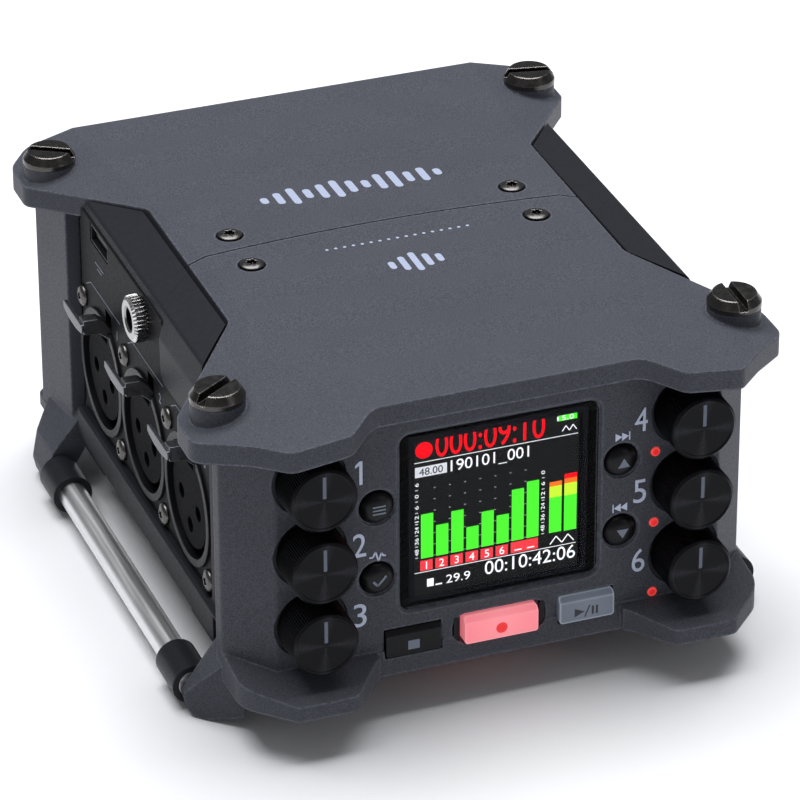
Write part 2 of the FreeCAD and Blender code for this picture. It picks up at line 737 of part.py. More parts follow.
def socket_shell(number):
    """Metal shell of an input socket: a tube with a rim, closed behind, with a latch slot."""
    side, step = SOCKETS[number]
    y = socket_y(step)
    name = f"input_{number}_socket"
    rim = side_cylinder(name + "_rim", side, "socket_rim", "side_face", "0.5", y, "socket_z")
    tube = side_cylinder(name + "_tube", side, "socket_bore + 0.7", "side_face - socket_depth",
                         "socket_depth + 0.1", y, "socket_z")
    bore = side_cylinder(name + "_bore", side, "socket_bore", "side_face - socket_depth + 1.2",
                         "socket_depth + 1", y, "socket_z")
    slot = side_box(name + "_slot", side, "side_face - 5", "7",
                    (f"{y} + {latch_start(side)} - 0.4", "socket_z + 6"), ("latch_arm + 0.8", 8))
    return cut(name, fuse(name + "_body", [rim, tube]), [bore, slot])


def socket_insert(number):
    """Round insulator with its three contact holes."""
    side, step = SOCKETS[number]
    y = socket_y(step)
    name = f"insert_{number}"
    core = side_cylinder(name + "_core", side, "insert_radius", "side_face - socket_depth + 1.2",
                         "socket_depth - 1.3", y, "socket_z")
    holes = []
    for spot, (dy, dz) in enumerate(((-4.1, -0.6), (4.1, -0.6), (0, -4.7))):
        holes.append(side_cylinder(f"{name}_hole_{spot}", side, "1.3", "side_face - 12", "14",
                                   f"{y} + {dy * -side}", f"socket_z + {dz}"))
    notch = side_box(name + "_notch", side, "side_face - 5", "7", (y + " - 2.2", "socket_z + 6.2"), (4.4, 3))
    return cut(name, core, holes + [notch])


def socket_contacts(number):
    side, step = SOCKETS[number]
    y = socket_y(step)
    pins = []
    for spot, (dy, dz) in enumerate(((-4.1, -0.6), (4.1, -0.6), (0, -4.7))):
        pins.append(side_cylinder(f"contact_{number}_{spot}", side, "0.9", "side_face - 12", "2.5",
                                  f"{y} + {dy * -side}", f"socket_z + {dz}"))
    return pins


def latch(number):
    """Pressed metal release lever: a thumb plate with an arm at one end that reaches into the socket."""
    side, step = SOCKETS[number]
    y = socket_y(step)
    name = f"input_{number}_latch"
    profile = [
        (side * 46.0, 38.8, 0.3),
        (side * 46.0, 41.3, 0.2),
        (side * 43.4, 41.2, 0.6),
        (side * 42.4, 40.4, 0.6),
        (side * 40.3, 37.4, 0.2),
        (side * 41.5, 36.95, 0.2),
        (side * 43.4, 38.6, 0.5),
    ]
    arm = prism(name + "_arm", profile, "Y", f"{y} + {latch_start(side)}", "latch_arm")
    blade = [(-4.9, 40.6, 0.3), (4.9, 40.6, 0.3), (4.9, 39.4, 0.3), (1.8, 38.7, 2.0), (-1.8, 38.7, 2.0),
             (-4.9, 39.2, 0.3)]
    plate = prism(name + "_plate", blade, "X", along(side, "45.8", "0.6"), 0.6)
    plate.setExpression("Placement.Base.y", cells(y))
    return fuse(name, [plate, arm])


def jack(name, side, y, proud):
    """A 3.5 mm jack: a box behind the panel and a bushing that stands proud of it."""
    body = side_box(name + "_body", side, "side_face - 16.5", "14.6", (f"{y} - 3.2", "jack_z - 3.1"), (6.4, 6.2))
    bushing = side_cylinder(name + "_bushing", side, "2.95", "side_face - 2", "2 + " + proud, y, "jack_z")
    bore = side_cylinder(name + "_bore", side, "jack_bore", f"side_face + {proud} - jack_length",
                         "jack_length + 1", y, "jack_z")
    return cut(name, fuse(name + "_solid", [body, bushing]), [bore])


def ring_nut(name, side, y, radius, length, proud):
    """The round nut on a jack's bushing."""
    ring = side_cylinder(name + "_ring", side, radius, "side_face + 0.05", length, y, "jack_z")
    mouth = side_cylinder(name + "_mouth", side, "2.95", "side_face - 1", "1 + " + proud, y, "jack_z")
    lead = side_cylinder(name + "_lead", side, "2.1", "side_face - 1", "5", y, "jack_z")
    return cut(name, ring, [mouth, lead])


def usb_port():
    shell = side_box("port_shell", -1, "side_face - 3.6", "3.5", ("port_y - 4.47", "port_z - 1.6"), (8.94, 3.2))
    hollow = side_box("port_hollow", -1, "side_face - 3.1", "4", ("port_y - 4.17", "port_z - 1.3"), (8.34, 2.6))
    tongue = side_box("port_tongue", -1, "side_face - 3.3", "2.6", ("port_y - 3.3", "port_z - 0.35"), (6.6, 0.7))
    return fuse("data_port", [cut("port_case", shell, [hollow]), tongue])


# ---------------------------------------------------------------- turned and moulded pieces

def body_plane(body, role):
    return [part for part in body.Origin.OriginFeatures if part.Role == role][0]


def lathe(name, profile):
    """A turned PartDesign body: half profile of (radius, height) pairs, each bound to the sheet."""
    body = doc.addObject("PartDesign::Body", name)
    sketch = body.newObject("Sketcher::SketchObject", name + "_profile")
    sketch.AttachmentSupport = [(body_plane(body, "XZ_Plane"), "")]
    sketch.MapMode = "FlatFace"
    values = [(worth(radius), worth(height)) for radius, height in profile]
    count = len(values)
    for i in range(count):
        start = Vector(values[i][0], values[i][1], 0)
        end = Vector(values[(i + 1) % count][0], values[(i + 1) % count][1], 0)
        sketch.addGeometry(Part.LineSegment(start, end), False)
    for i in range(count):
        sketch.addConstraint(Sketcher.Constraint("Coincident", i, 2, (i + 1) % count, 1))
    for i, (radius, height) in enumerate(profile):
        for kind, text, value in (("DistanceX", radius, values[i][0]), ("DistanceY", height, values[i][1])):
            if abs(value) < 1e-9:
                axis = -2 if kind == "DistanceX" else -1
                sketch.addConstraint(Sketcher.Constraint("PointOnObject", i, 1, axis))
                continue
            index = sketch.addConstraint(Sketcher.Constraint(kind, -1, 1, i, 1, value))
            sketch.setExpression(f"Constraints[{index}]", cells(text))
    turned = body.newObject("PartDesign::Revolution", name + "_turned")
    turned.Profile = sketch
    turned.ReferenceAxis = (sketch, ["V_Axis"])
    turned.Angle = 360
    body.Tip = turned
    return body


def worth(text):
    """The value of an expression, worked out by the sheet in a spare cell."""
    sheet.set("D1", f"={text}")
    sheet.recompute()
    return float(sheet.get("D1"))


def stand(item, at, axis="Z", spin=0):
    item.Placement = FreeCAD.Placement(Vector(0, 0, 0), TURN[axis] * Rotation(Vector(0, 0, 1), spin))
    return move(item, at)


def knob(number, side, height):
    """A track knob with its stem, turned about Y; local Z runs from the face to the stem."""
    profile = [
        ("0", "0"),
        ("knob_radius - 0.35", "0"),
        ("knob_radius", "0.35"),
        ("knob_radius", "knob_front - knob_back"),
        ("stem_radius", "knob_front - knob_back"),
        ("stem_radius", "knob_front - 45.6"),
        ("0", "knob_front - 45.6"),
    ]
    item = lathe(f"knob_{number}", profile)
    return stand(item, (f"{side} * knob_x", "-knob_front", height), "Y")


def knob_pot(number, side, height):
    """Rotary control behind a knob: a bushing that guides the stem, on a square body."""
    where = (f"{side} * knob_x", "-48.2", height)
    name = f"pot_{number}"
    bushing = cylinder(name + "_bushing", "4.2", 3.4, where, "Y")
    case = box(name + "_case", (f"{side} * knob_x - 4.8", "-45.2", height + " - 4.8"), (9.6, 3.4, 9.6))
    bore = cylinder(name + "_bore", "stem_radius + running_gap", 4.0,
                    (f"{side} * knob_x", "-49", height), "Y")
    return cut(name, fuse(name + "_solid", [bushing, case]), [bore])


def round_button(name, side, height):
    """A round cap with a collar behind the wall and a short plunger; local Z runs inward."""
    profile = [
        ("0", "0"),
        ("key_radius - 0.7", "0"),
        ("key_radius", "0.4"),
        ("key_radius", "3.7"),
        ("key_radius + 0.6", "3.7"),
        ("key_radius + 0.6", "4.3"),
        ("1.0", "4.3"),
        ("1.0", "5.6"),
        ("0", "5.6"),
    ]
    item = lathe(name, profile)
    return stand(item, (f"{side} * key_x", "-key_front", height), "Y")


def transport_button(name, x, wide):
    """A bar-shaped cap with a sloped upper edge, a collar behind the wall and a plunger."""
    proud = {"stop_button": 0.6, "record_button": 1.2, "play_button": 1.0}[name]
    front = f"(-front_face - {proud})"
    depth = f"{proud} + wall + 0.2"
    tall = size("bar_key_tall")
    wide_value = size(wide)
    face = [
        (-wide_value / 2, -tall / 2, 0.5),
        (wide_value / 2, -tall / 2, 0.5),
        (wide_value / 2, tall / 2, 0.5),
        (-wide_value / 2, tall / 2, 0.5),
    ]
    cap = prism(name + "_cap", face, "Y", front, depth)
    cap.setExpression("Placement.Base.x", cells(x))
    cap.setExpression("Placement.Base.z", cells("bar_key_z"))
    slope = box(name + "_slope", (0, 0, 0), (30, 3, 3))
    for letter in "xyz":
        slope.setExpression("Placement.Base." + letter, None)
    slope.Placement = FreeCAD.Placement(
        Vector(-15 + worth(x), -size("front_face") - proud, size("bar_key_z") + tall / 2 - 0.9),
        Rotation(Vector(1, 0, 0), 45))
    shaped = cut(name + "_shaped", cap, [slope])
    collar = box(name + "_collar", (f"{x} - {wide} / 2 - 0.6", "-front_face + wall + 0.2", "bar_key_z - 2.7"),
                 (f"{wide} + 1.2", 0.7, "5.6"))
    plunger = cylinder(name + "_plunger", 1.0, 1.4, (x, "-front_face + wall + 0.8", "bar_key_z"), "Y")
    return fuse(name, [shaped, collar, plunger])


def corner_screw(name, x, y, slot_angle):
    """A large slotted screw; local Z runs up from its shank's tip."""
    shank = 4.8
    total = "(post_rim + post_cone)"
    profile = [
        ("0", "0"),
        ("post_shank", "0"),
        ("post_shank", f"{shank}"),
        ("post_radius", f"{shank}"),
        ("post_radius", f"{shank} + post_rim"),
        ("3.5", f"{shank} + {total}"),
        ("0", f"{shank} + {total}"),
    ]
    item = lathe(name + "_blank", profile)
    low = size("post_top") - size("post_rim") - size("post_cone") - shank
    stand(item, (x, y, low))
    slot = box(name + "_slot", (0, 0, 0), (12, "post_slot", 3))
    for letter in "xyz":
        slot.setExpression("Placement.Base." + letter, None)
    turn = Rotation(Vector(0, 0, 1), slot_angle)
    corner = turn.multVec(Vector(-6, -size("post_slot") / 2, 0))
    slot.Placement = FreeCAD.Placement(Vector(x + corner.x, y + corner.y, size("post_top") - 1.5), turn)
    return cut(name, item, [slot])


def small_screw(name, head_radius, head_tall, shank_radius, shank_length, at, axis):
    """A button-head screw; local Z runs from the head's crown to the tip of the shank."""
    profile = [
        ("0", "0"),
        (f"{head_radius * 0.55}", "0"),
        (f"{head_radius}", f"{head_tall * 0.7}"),
        (f"{head_radius}", f"{head_tall}"),
        (f"{shank_radius}", f"{head_tall}"),
        (f"{shank_radius}", f"{head_tall + shank_length}"),
        ("0", f"{head_tall + shank_length}"),
    ]
    item = lathe(name, profile)
    turns = {
        "down": Rotation(Vector(1, 0, 0), 180),
        "up": Rotation(),
        "right": Rotation(Vector(0, 1, 0), 90),
        "left": Rotation(Vector(0, 1, 0), -90),
    }
    item.Placement = FreeCAD.Placement(Vector(0, 0, 0), turns[axis])
    return move(item, at)


# ---------------------------------------------------------------- assembly

nodes = []


def node(item, label):
    item.Label = label
    nodes.append(item)
    return item


node(front_panel(), "front_panel")
node(rear_panel(), "rear_panel")
for side in (-1, 1):
    node(side_cover(side), side_name(side) + "_side_cover")
    node(input_panel(side), side_name(side) + "_input_panel")

base_half = [(38.3, 49.8, 0), (38.3, -45.2, 0), (35.8, -47.7, 0)]
base = prism("base_blank", base_half + [(-u, v, r) for u, v, r in reversed(base_half)], "Z", "base_low",
             "base_skin")
base_tools = [
    cylinder("bush_seat", "6.05", 6, (0, -20, 9)),
    box("button_room", (-21.5, -49, 9), (43, 4, 5)),
]
BASE_SCREWS = [(x, y) for x in (-33, 33) for y in (-44, 2, 46)]
for spot, (x, y) in enumerate(BASE_SCREWS):
    base_tools.append(cylinder(f"base_hole_{spot}", 1.15, 6, (x, y, 8)))
node(cut("base_plate_cut", base, base_tools), "base_plate")

SLOT_ANGLES = {"front_left": 34, "front_right": 88, "rear_left": -31, "rear_right": -12}
posts = [corner_screw("post_" + name, x, y, SLOT_ANGLES[name]) for name, x, y in corner_posts()]
node(group("corner_screw_set", posts), "corner_screws")

seam = []
for side in (-1, 1):
    for end, y in SEAM_SCREWS.items():
        at = (side * SEAM_SCREW_X, y, seam_screw_top(y))
        seam.append(small_screw(f"seam_{end}_{side_name(side)}", 1.95, 1.3, 1.0, 4.6, at, "down"))
node(group("seam_screw_set", seam), "seam_screws")

screws = []
for number, (side, step) in SOCKETS.items():
    for sign in (-1, 1):
        at = (f"{side} * (side_face + 0.95)", f"{socket_y(step)} + {sign} * side_screw",
              f"socket_z + {sign} * side_screw")
        label = f"side_screw_{number}_{'upper' if sign > 0 else 'lower'}"
        screws.append(small_screw(label, 1.9, 0.9, 0.85, 4.5, at, "right" if side < 0 else "left"))
node(group("side_screw_set", screws), "input_screws")

feet = []
for spot, (x, y) in enumerate(BASE_SCREWS):
    feet.append(small_screw(f"base_screw_{spot}", 2.0, 1.0, 1.0, 4.0, (x, y, "base_low - 1.05"), "up"))
node(group("base_screw_set", feet), "base_screws")

for side in (-1, 1):
    name = side_name(side)
    rod = cylinder(name + "_rod", "bar_radius", "collar_front_out + collar_rear_out - 0.2",
                   (f"{side} * bar_x", "-collar_front_out + 0.1", "bar_z"), "Y")
    spigot = cylinder(name + "_spigot", "spigot_radius", "collar_front_out + collar_rear_out + 5.0",
                      (f"{side} * bar_x", "-collar_front_out - 1.6", "bar_z"), "Y")
    node(fuse(name + "_bar", [rod, spigot]), name + "_strap_bar")

collars = []
for side in (-1, 1):
    for end, start in (("front", "-collar_front_out"), ("rear", "collar_rear_in")):
        label = f"collar_{side_name(side)}_{end}"
        at = (f"{side} * bar_x", start, "bar_z")
        length = f"collar_{end}_out - collar_{end}_in"
        sleeve = cylinder(label + "_sleeve", "collar_radius", length, at, "Y")
        room = cylinder(label + "_room", "bar_radius", length, at, "Y")
        collars.append(cut(label, sleeve, [room]))
node(group("collar_set", collars), "bar_collars")

for number, side, height in knob_places():
    node(knob(number, side, height), f"knob_{number}")
dial_pot = box("dial_pot", ("dial_x - 3.2", "port_y - 3.4", "dial_z - 3.4"), (6.4, 6.8, 3.0))
dial_pot_bore = cylinder("dial_pot_bore", "1.5 + running_gap", 4, ("dial_x", "port_y", "dial_z - 3.8"))
pots = [knob_pot(*place) for place in knob_places()] + [cut("dial_pot_bored", dial_pot, [dial_pot_bore])]
node(group("pot_set", pots), "knob_pots")

for name, (side, height) in ROUND_KEYS.items():
    node(round_button(name + "_cap", side, height), name)
for name, (x, wide) in TRANSPORT_KEYS.items():
    node(transport_button(name, x, wide), name)
switches = []
for name, (side, height) in ROUND_KEYS.items():
    switches.append(box(name + "_switch", (f"{side} * key_x - 2.6", -44.9, height + " - 2.6"), (5.2, 3.1, 5.2)))
for name, (x, wide) in TRANSPORT_KEYS.items():
    switches.append(box(name + "_switch", (f"{x} - 2.6", -44.9, "bar_key_z - 0.2"), (5.2, 3.1, 3.4)))
node(group("switch_set", switches), "button_switches")

lights = []
for number, side, height in knob_places():
    lights.append(cylinder(f"light_{number}", "led_radius", 3.6,
                           (f"{side} * led_x", "-front_face - 0.15", height + " - led_drop"), "Y"))
node(group("light_set", lights), "track_lights")

glass = [(-size("glass_half"), size("glass_low"), size("glass_corner")),
         (size("glass_half"), size("glass_low"), size("glass_corner")),
         (size("glass_half"), size("glass_high"), size("glass_corner")),
         (-size("glass_half"), size("glass_high"), size("glass_corner"))]
node(prism("glass_plate", glass, "Y", "-front_face + 0.15", 0.6), "screen_glass")
display_block = box("display_block", (-16.6, -48.2, 18.0), (33.2, 2.8, 32.4))
display_front = box("display_front", (-14.6, -49.0, 19.5), (29.2, 0.8, 29.0))
node(fuse("display", [display_block, display_front]), "screen_module")
node(box("front_board_blank", (-38, -41.7, 13.2), (76, 1.6, 38.6)), "front_board")
node(box("main_board_blank", (-22, -38, 47.0), (44, 84, 1.6)), "main_board")

for number in SOCKETS:
    node(socket_shell(number), f"input_{number}_socket")
node(group("insert_set", [socket_insert(number) for number in SOCKETS]), "socket_inserts")
pins = [pin for number in SOCKETS for pin in socket_contacts(number)]
node(group("contact_set", pins), "socket_contacts")
for number in SOCKETS:
    node(latch(number), f"input_{number}_latch")

node(jack("timecode", -1, "jack_y", "jack_proud"), "timecode_jack")
outputs = [jack("phones", 1, "jack_y", "output_proud"), jack("line", 1, "(jack_y + 11)", "output_proud")]
node(group("output_set", outputs), "output_jacks")
nuts = [ring_nut("timecode_nut", -1, "jack_y", 3.95, 2.35, "jack_proud"),
        ring_nut("phones_nut", 1, "jack_y", 3.3, 0.45, "output_proud"),
        ring_nut("line_nut", 1, "(jack_y + 11)", 3.3, 0.45, "output_proud")]
node(group("nut_set", nuts), "jack_nuts")
node(usb_port(), "data_port")

dial_wheel = cylinder("dial_wheel", "dial_radius", "dial_tall", ("dial_x", "port_y", "dial_z"))
dial_stem = cylinder("dial_stem", 1.5, 3.6, ("dial_x", "port_y", "dial_z - 3.2"))
node(fuse("dial", [dial_wheel, dial_stem]), "volume_dial")

slider_cap = box("slider_cap", (41.0, -26.9, 47.9), (1.9, 3.8, 2.6))
slider_back = box("slider_back", (38.6, -28.4, 46.8), (0.9, 6.8, 4.6))
slider_neck = box("slider_neck", (39.4, -26.4, 48.2), (1.7, 2.8, 2.0))
node(fuse("slider", [slider_cap, slider_back, slider_neck]), "power_switch")

# battery tray: a drawer for four cells whose front carries the rails of a camera battery
tray_block = box("tray_block", ("-tray_half", "rear_face - tray_deep", "tray_low"),
                 ("2 * tray_half", "tray_deep", "tray_tall"))
tray_room = box("tray_room", ("-tray_half + 0.6", "rear_face - tray_deep + 1.2", "tray_low + 0.6"),
                ("2 * tray_half - 1.2", "cell_length + 1.2", "tray_tall + 5"))
door = prism("tray_door", [(-DOOR_HALF, DOOR_LOW, 2), (DOOR_HALF, DOOR_LOW, 2),
                           (DOOR_HALF, DOOR_LOW + DOOR_TALL, 2), (-DOOR_HALF, DOOR_LOW + DOOR_TALL, 2)],
             "Y", "rear_face + 0.3", 2.2)
door_neck = box("tray_neck", ("-tray_half", "rear_face - 1.0", "tray_low"), ("2 * tray_half", 1.5, "tray_tall"))
rails = []
for side in (-1, 1):
    rails.append(box(f"rail_{side_name(side)}", (side * 15.5 - 1.5, 55.0, 18), (3.0, 4.9, 24)))
rail_slots = []
for side in (-1, 1):
    rail_slots.append(box(f"rail_slot_{side_name(side)}", (side * 14.3 - 1.1, 56.6, 17), (2.2, 1.8, 20)))
tray = fuse("tray_solid", [cut("tray_open", tray_block, [tray_room]), door, door_neck] + rails)
node(cut("tray", tray, rail_slots), "battery_tray")

cells_set = []
for row in (0, 1):
    for side in (-1, 1):
        cells_set.append(cylinder(f"cell_{row}_{side_name(side)}", "cell_radius", "cell_length",
                                  (f"{side} * (cell_radius + 0.05)", "rear_face - tray_deep + 1.8",
                                   f"tray_low + 0.7 + cell_radius + {row} * (2 * cell_radius + 0.05)"), "Y"))
node(group("cell_set", cells_set), "battery_cells")

x, z, wide, tall = CARD_SLOT
card_lid = box("card_lid", (x - 1.2, 53.2, z - 1.2), (wide + 2.4, 1.2, tall + 2.4))
card_plug = box("card_plug", (x + 0.3, 51.9, z + 0.3), (wide - 0.6, 1.5, tall - 0.9))
card_barrel = cylinder("card_barrel", 0.8, wide + 2.4, (x - 1.2, 54.0, z - 1.2), "X")
node(fuse("card_flap", [card_lid, card_plug, card_barrel]), "card_door")

bush_body = cylinder("bush_body", 6.0, "bush_length", (0, -20, "base_low"))
bush_bore = cylinder("bush_bore", "bush_radius", "bush_length + 2", (0, -20, "base_low - 1"))
node(cut("bush", bush_body, [bush_bore]), "tripod_bush")

sheet.clear("D1")
doc.recompute()

# ---------------------------------------------------------------- checks and files

problems = []
for item in doc.Objects:
    if "Invalid" in item.State or "Error" in item.State:
        problems.append(f"{item.Name} is {item.State}")
for item in nodes:
    if item.Shape.isNull() or not item.Shape.isValid():
        problems.append(f"{item.Label} has no valid shape")
if problems:
    raise RuntimeError("; ".join(problems))

os.makedirs("parts", exist_ok=True)
for item in nodes:
    item.Shape.exportStep(f"parts/{item.Label}.step")
print(len(nodes), "nodes written")
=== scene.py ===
import json
import math

import bmesh
import bpy
from mathutils import Matrix, Vector


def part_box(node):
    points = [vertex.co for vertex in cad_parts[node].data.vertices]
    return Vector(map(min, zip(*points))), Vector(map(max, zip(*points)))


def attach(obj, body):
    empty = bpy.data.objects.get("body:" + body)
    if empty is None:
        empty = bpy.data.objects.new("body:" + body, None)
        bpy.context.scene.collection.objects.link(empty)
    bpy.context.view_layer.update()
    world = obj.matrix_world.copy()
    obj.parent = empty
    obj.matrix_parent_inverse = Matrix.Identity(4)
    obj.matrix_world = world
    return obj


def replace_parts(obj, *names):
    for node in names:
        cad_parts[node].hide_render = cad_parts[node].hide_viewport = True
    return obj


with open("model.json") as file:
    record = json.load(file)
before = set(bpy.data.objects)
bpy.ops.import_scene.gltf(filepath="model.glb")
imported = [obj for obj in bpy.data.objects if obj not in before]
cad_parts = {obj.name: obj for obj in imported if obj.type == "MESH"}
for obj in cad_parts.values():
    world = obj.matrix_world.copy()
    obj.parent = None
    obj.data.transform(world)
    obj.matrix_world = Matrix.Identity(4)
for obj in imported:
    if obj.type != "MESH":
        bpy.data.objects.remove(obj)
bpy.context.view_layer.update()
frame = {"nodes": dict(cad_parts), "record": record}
nodes = frame["nodes"]
MM = 0.001

# Places in millimetres that several pieces share. Those that repeat a size of the CAD say so.
SOCKET_MIDDLE = -0.6    # CAD: y of the middle socket on each side
SOCKET_STEP = 22.1      # CAD: from one socket to the next
SOCKET_Z = 28.6         # CAD: height of the sockets
SIDE_FACE = 41.42       # x of the artwork, 0.02 over the input panels
PRINT_Y = -50.91        # y of the artwork, 0.01 in front of the front wall
TOP_Z = 58.4            # CAD: top plates at the seam
TOP_SLOPE = 0.01658     # CAD: fall of the top plates away from the seam, the tangent of 0.95 degrees
KEY_SHIFT = 14.5        # CAD: x of the stop and play buttons
ICON_Z = 12.5           # height of the icons on those two buttons
INK_THICK = 0.03


# ---------------------------------------------------------------- camera, floor and lights

def look(location, azimuth, elevation, roll=0.0):
    """A matrix at location that looks along azimuth (0 is +Y) and down by elevation, in degrees."""
    turn = (Matrix.Rotation(math.radians(azimuth), 4, "Z")
            @ Matrix.Rotation(math.radians(90 - elevation), 4, "X")
            @ Matrix.Rotation(math.radians(roll), 4, "Z"))
    return Matrix.Translation(Vector(location)) @ turn


def make_camera():
    lens = bpy.data.cameras.new("camera")
    lens.lens = 228.81
    lens.sensor_width = 36.0
    lens.clip_start = 0.05
    lens.clip_end = 20.0
    camera = bpy.data.objects.new("camera", lens)
    bpy.context.scene.collection.objects.link(camera)
    camera.matrix_world = look((-0.2523, -0.6813, 0.4325), -20.51, 29.21, -0.18)
    bpy.context.scene.camera = camera


def soft_light(name, location, target, width, height, power, tint=(1, 1, 1)):
    lamp = bpy.data.lights.new(name, "AREA")
    lamp.shape = "RECTANGLE"
    lamp.size = width
    lamp.size_y = height
    lamp.energy = power
    lamp.color = tint
    item = bpy.data.objects.new(name, lamp)
    bpy.context.scene.collection.objects.link(item)
    aim = Vector(target) - Vector(location)
    turn = aim.to_track_quat("-Z", "Y").to_matrix().to_4x4()
    item.matrix_world = Matrix.Translation(Vector(location)) @ turn


def studio():
    world = bpy.data.worlds.new("studio")
    world.use_nodes = True
    background = world.node_tree.nodes["Background"].inputs
    background["Color"].default_value = (0.95, 0.96, 1.0, 1)
    background["Strength"].default_value = 0.2
    bpy.context.scene.world = world
    bpy.context.scene.view_settings.view_transform = "Standard"
    soft_light("overhead", (0.0, 0.15, 1.0), (0, 0, 0.03), 1.1, 0.8, 16, (0.96, 0.975, 1.0))
    soft_light("front_left", (-0.8, -0.7, 0.6), (0, 0, 0.03), 0.35, 0.7, 0.1)
    soft_light("front_right", (0.7, -0.9, 0.45), (0, 0, 0.03), 0.4, 0.5, 0.7)
    floor_mesh = bpy.data.meshes.new("floor")
    floor_mesh.from_pydata([(-4, -4, 0), (4, -4, 0), (4, 4, 0), (-4, 4, 0)], [], [(0, 1, 2, 3)])
    floor = bpy.data.objects.new("floor", floor_mesh)
    bpy.context.scene.collection.objects.link(floor)
    floor.location.z = -0.0002
    floor_mesh.materials.append(plain_floor())


# ---------------------------------------------------------------- shaders

class Shader:
    """A material with a Principled shader and short calls for its nodes."""

    def __init__(self, name, color, roughness, metallic=0.0):
        self.material = bpy.data.materials.new(name)
        self.material.use_nodes = True
        self.tree = self.material.node_tree
        self.bsdf = self.tree.nodes["Principled BSDF"]
        self.color = color
        self.put("Base Color", (*color, 1))
        self.put("Roughness", roughness)
        self.put("Metallic", metallic)
        self.space = self.add("ShaderNodeTexCoord").outputs["Object"]

    def put(self, name, value):
        self.bsdf.inputs[name].default_value = value

    def add(self, kind, **settings):
        item = self.tree.nodes.new(kind)
        for key, value in settings.items():
            setattr(item, key, value)
        return item

    def link(self, start, end):
        self.tree.links.new(start, end)

    def noise(self, scale, detail=2.0, rough=0.5, stretch=(1, 1, 1)):
        item = self.add("ShaderNodeTexNoise")
        item.inputs["Scale"].default_value = scale
        item.inputs["Detail"].default_value = detail
        item.inputs["Roughness"].default_value = rough
        source = self.space
        if stretch != (1, 1, 1):
            mapping = self.add("ShaderNodeMapping")
            mapping.inputs["Scale"].default_value = stretch
            self.link(self.space, mapping.inputs["Vector"])
            source = mapping.outputs["Vector"]
        self.link(source, item.inputs["Vector"])
        return item.outputs["Fac"]

    def math(self, operation, value, other=None):
        item = self.add("ShaderNodeMath", operation=operation)
        self.link(value, item.inputs[0])
        if isinstance(other, float):
            item.inputs[1].default_value = other
        elif other is not None:
            self.link(other, item.inputs[1])
        return item.outputs["Value"]

    def spread(self, value, low, high, to_low=0.0, to_high=1.0):
        item = self.add("ShaderNodeMapRange")
        self.link(value, item.inputs["Value"])
        for key, number in (("From Min", low), ("From Max", high), ("To Min", to_low), ("To Max", to_high)):
            item.inputs[key].default_value = number
        return item.outputs["Result"]

    def mix(self, factor, first, second):
        item = self.add("ShaderNodeMix", data_type="RGBA")
        self.link(factor, item.inputs["Factor"])
        for key, value in (("A", first), ("B", second)):
            socket = [s for s in item.inputs if s.name == key and s.type == "RGBA"][0]
            if isinstance(value, tuple):
                socket.default_value = (*value, 1)
            else:
                self.link(value, socket)
        return [s for s in item.outputs if s.type == "RGBA"][0]

    def tone(self, factor):
        return tuple(min(1.0, c * factor) for c in self.color)

    def edge(self, radius):
        """1 on an edge or crease, 0 elsewhere, and the rounded normal; the looks paint a highlight where it
        is 1.
        """
        bevel = self.add("ShaderNodeBevel", samples=6)
        bevel.inputs["Radius"].default_value = radius
        geometry = self.add("ShaderNodeNewGeometry")
        dot = self.add("ShaderNodeVectorMath", operation="DOT_PRODUCT")
        self.link(bevel.outputs["Normal"], dot.inputs[0])
        self.link(geometry.outputs["True Normal"], dot.inputs[1])
        return self.spread(dot.outputs["Value"], 0.995, 0.90), bevel.outputs["Normal"]

    def bump(self, height, depth, normal=None):
        item = self.add("ShaderNodeBump")
        item.inputs["Strength"].default_value = 1.0
        item.inputs["Distance"].default_value = depth
        self.link(height, item.inputs["Height"])
        if normal is not None:
            self.link(normal, item.inputs["Normal"])
        self.link(item.outputs["Normal"], self.bsdf.inputs["Normal"])


def plain_floor():
    shader = Shader("pale_floor", (0.93, 0.93, 0.94), 0.7)
    cloud = shader.mix(shader.noise(30), (0.92, 0.92, 0.93), (0.95, 0.95, 0.96))
    shader.link(cloud, shader.bsdf.inputs["Base Color"])
    shader.put("Specular IOR Level", 0.1)
    return shader.material


def paint(name, color, roughness, edge_highlight_tone=3.0, fleck=0.5, radius=0.0006):
    """Charcoal paint with fine metal flecks, orange peel, and edges and creases painted bright: partly rubbed
    wear, partly a painted highlight.
    """
    shader = Shader(name, color, roughness)
    shader.put("Specular IOR Level", 0.05)
    fine = shader.spread(shader.noise(5200, 2.0, 0.6), 0.35, 0.68)
    cloud = shader.spread(shader.noise(90, 3.0), 0.3, 0.7)
    body = shader.mix(fine, shader.tone(1 - 0.5 * fleck), shader.tone(1 + 0.9 * fleck))
    cloudy_body = shader.mix(fine, shader.tone(1 - 0.4 * fleck), shader.tone(1 + 1.1 * fleck))
    shaded = shader.mix(cloud, body, cloudy_body)
    # Edges and creases are painted lighter in patches: rubbed wear, and a painted highlight where rounded
    # edges catch the light.
    edge_highlight_mask, rounded = shader.edge(radius)
    rubbed_edge_highlight = shader.math("MULTIPLY", edge_highlight_mask, shader.spread(shader.noise(1400, 3.0), 0.25, 0.7))
    shader.link(shader.mix(rubbed_edge_highlight, shaded, shader.tone(edge_highlight_tone)), shader.bsdf.inputs["Base Color"])
    shader.link(shader.spread(fine, 0, 1, roughness + 0.06, roughness - 0.08),
                shader.bsdf.inputs["Roughness"])
    shader.bump(shader.noise(4200, 2.0), 0.000022, rounded)
    return shader.material


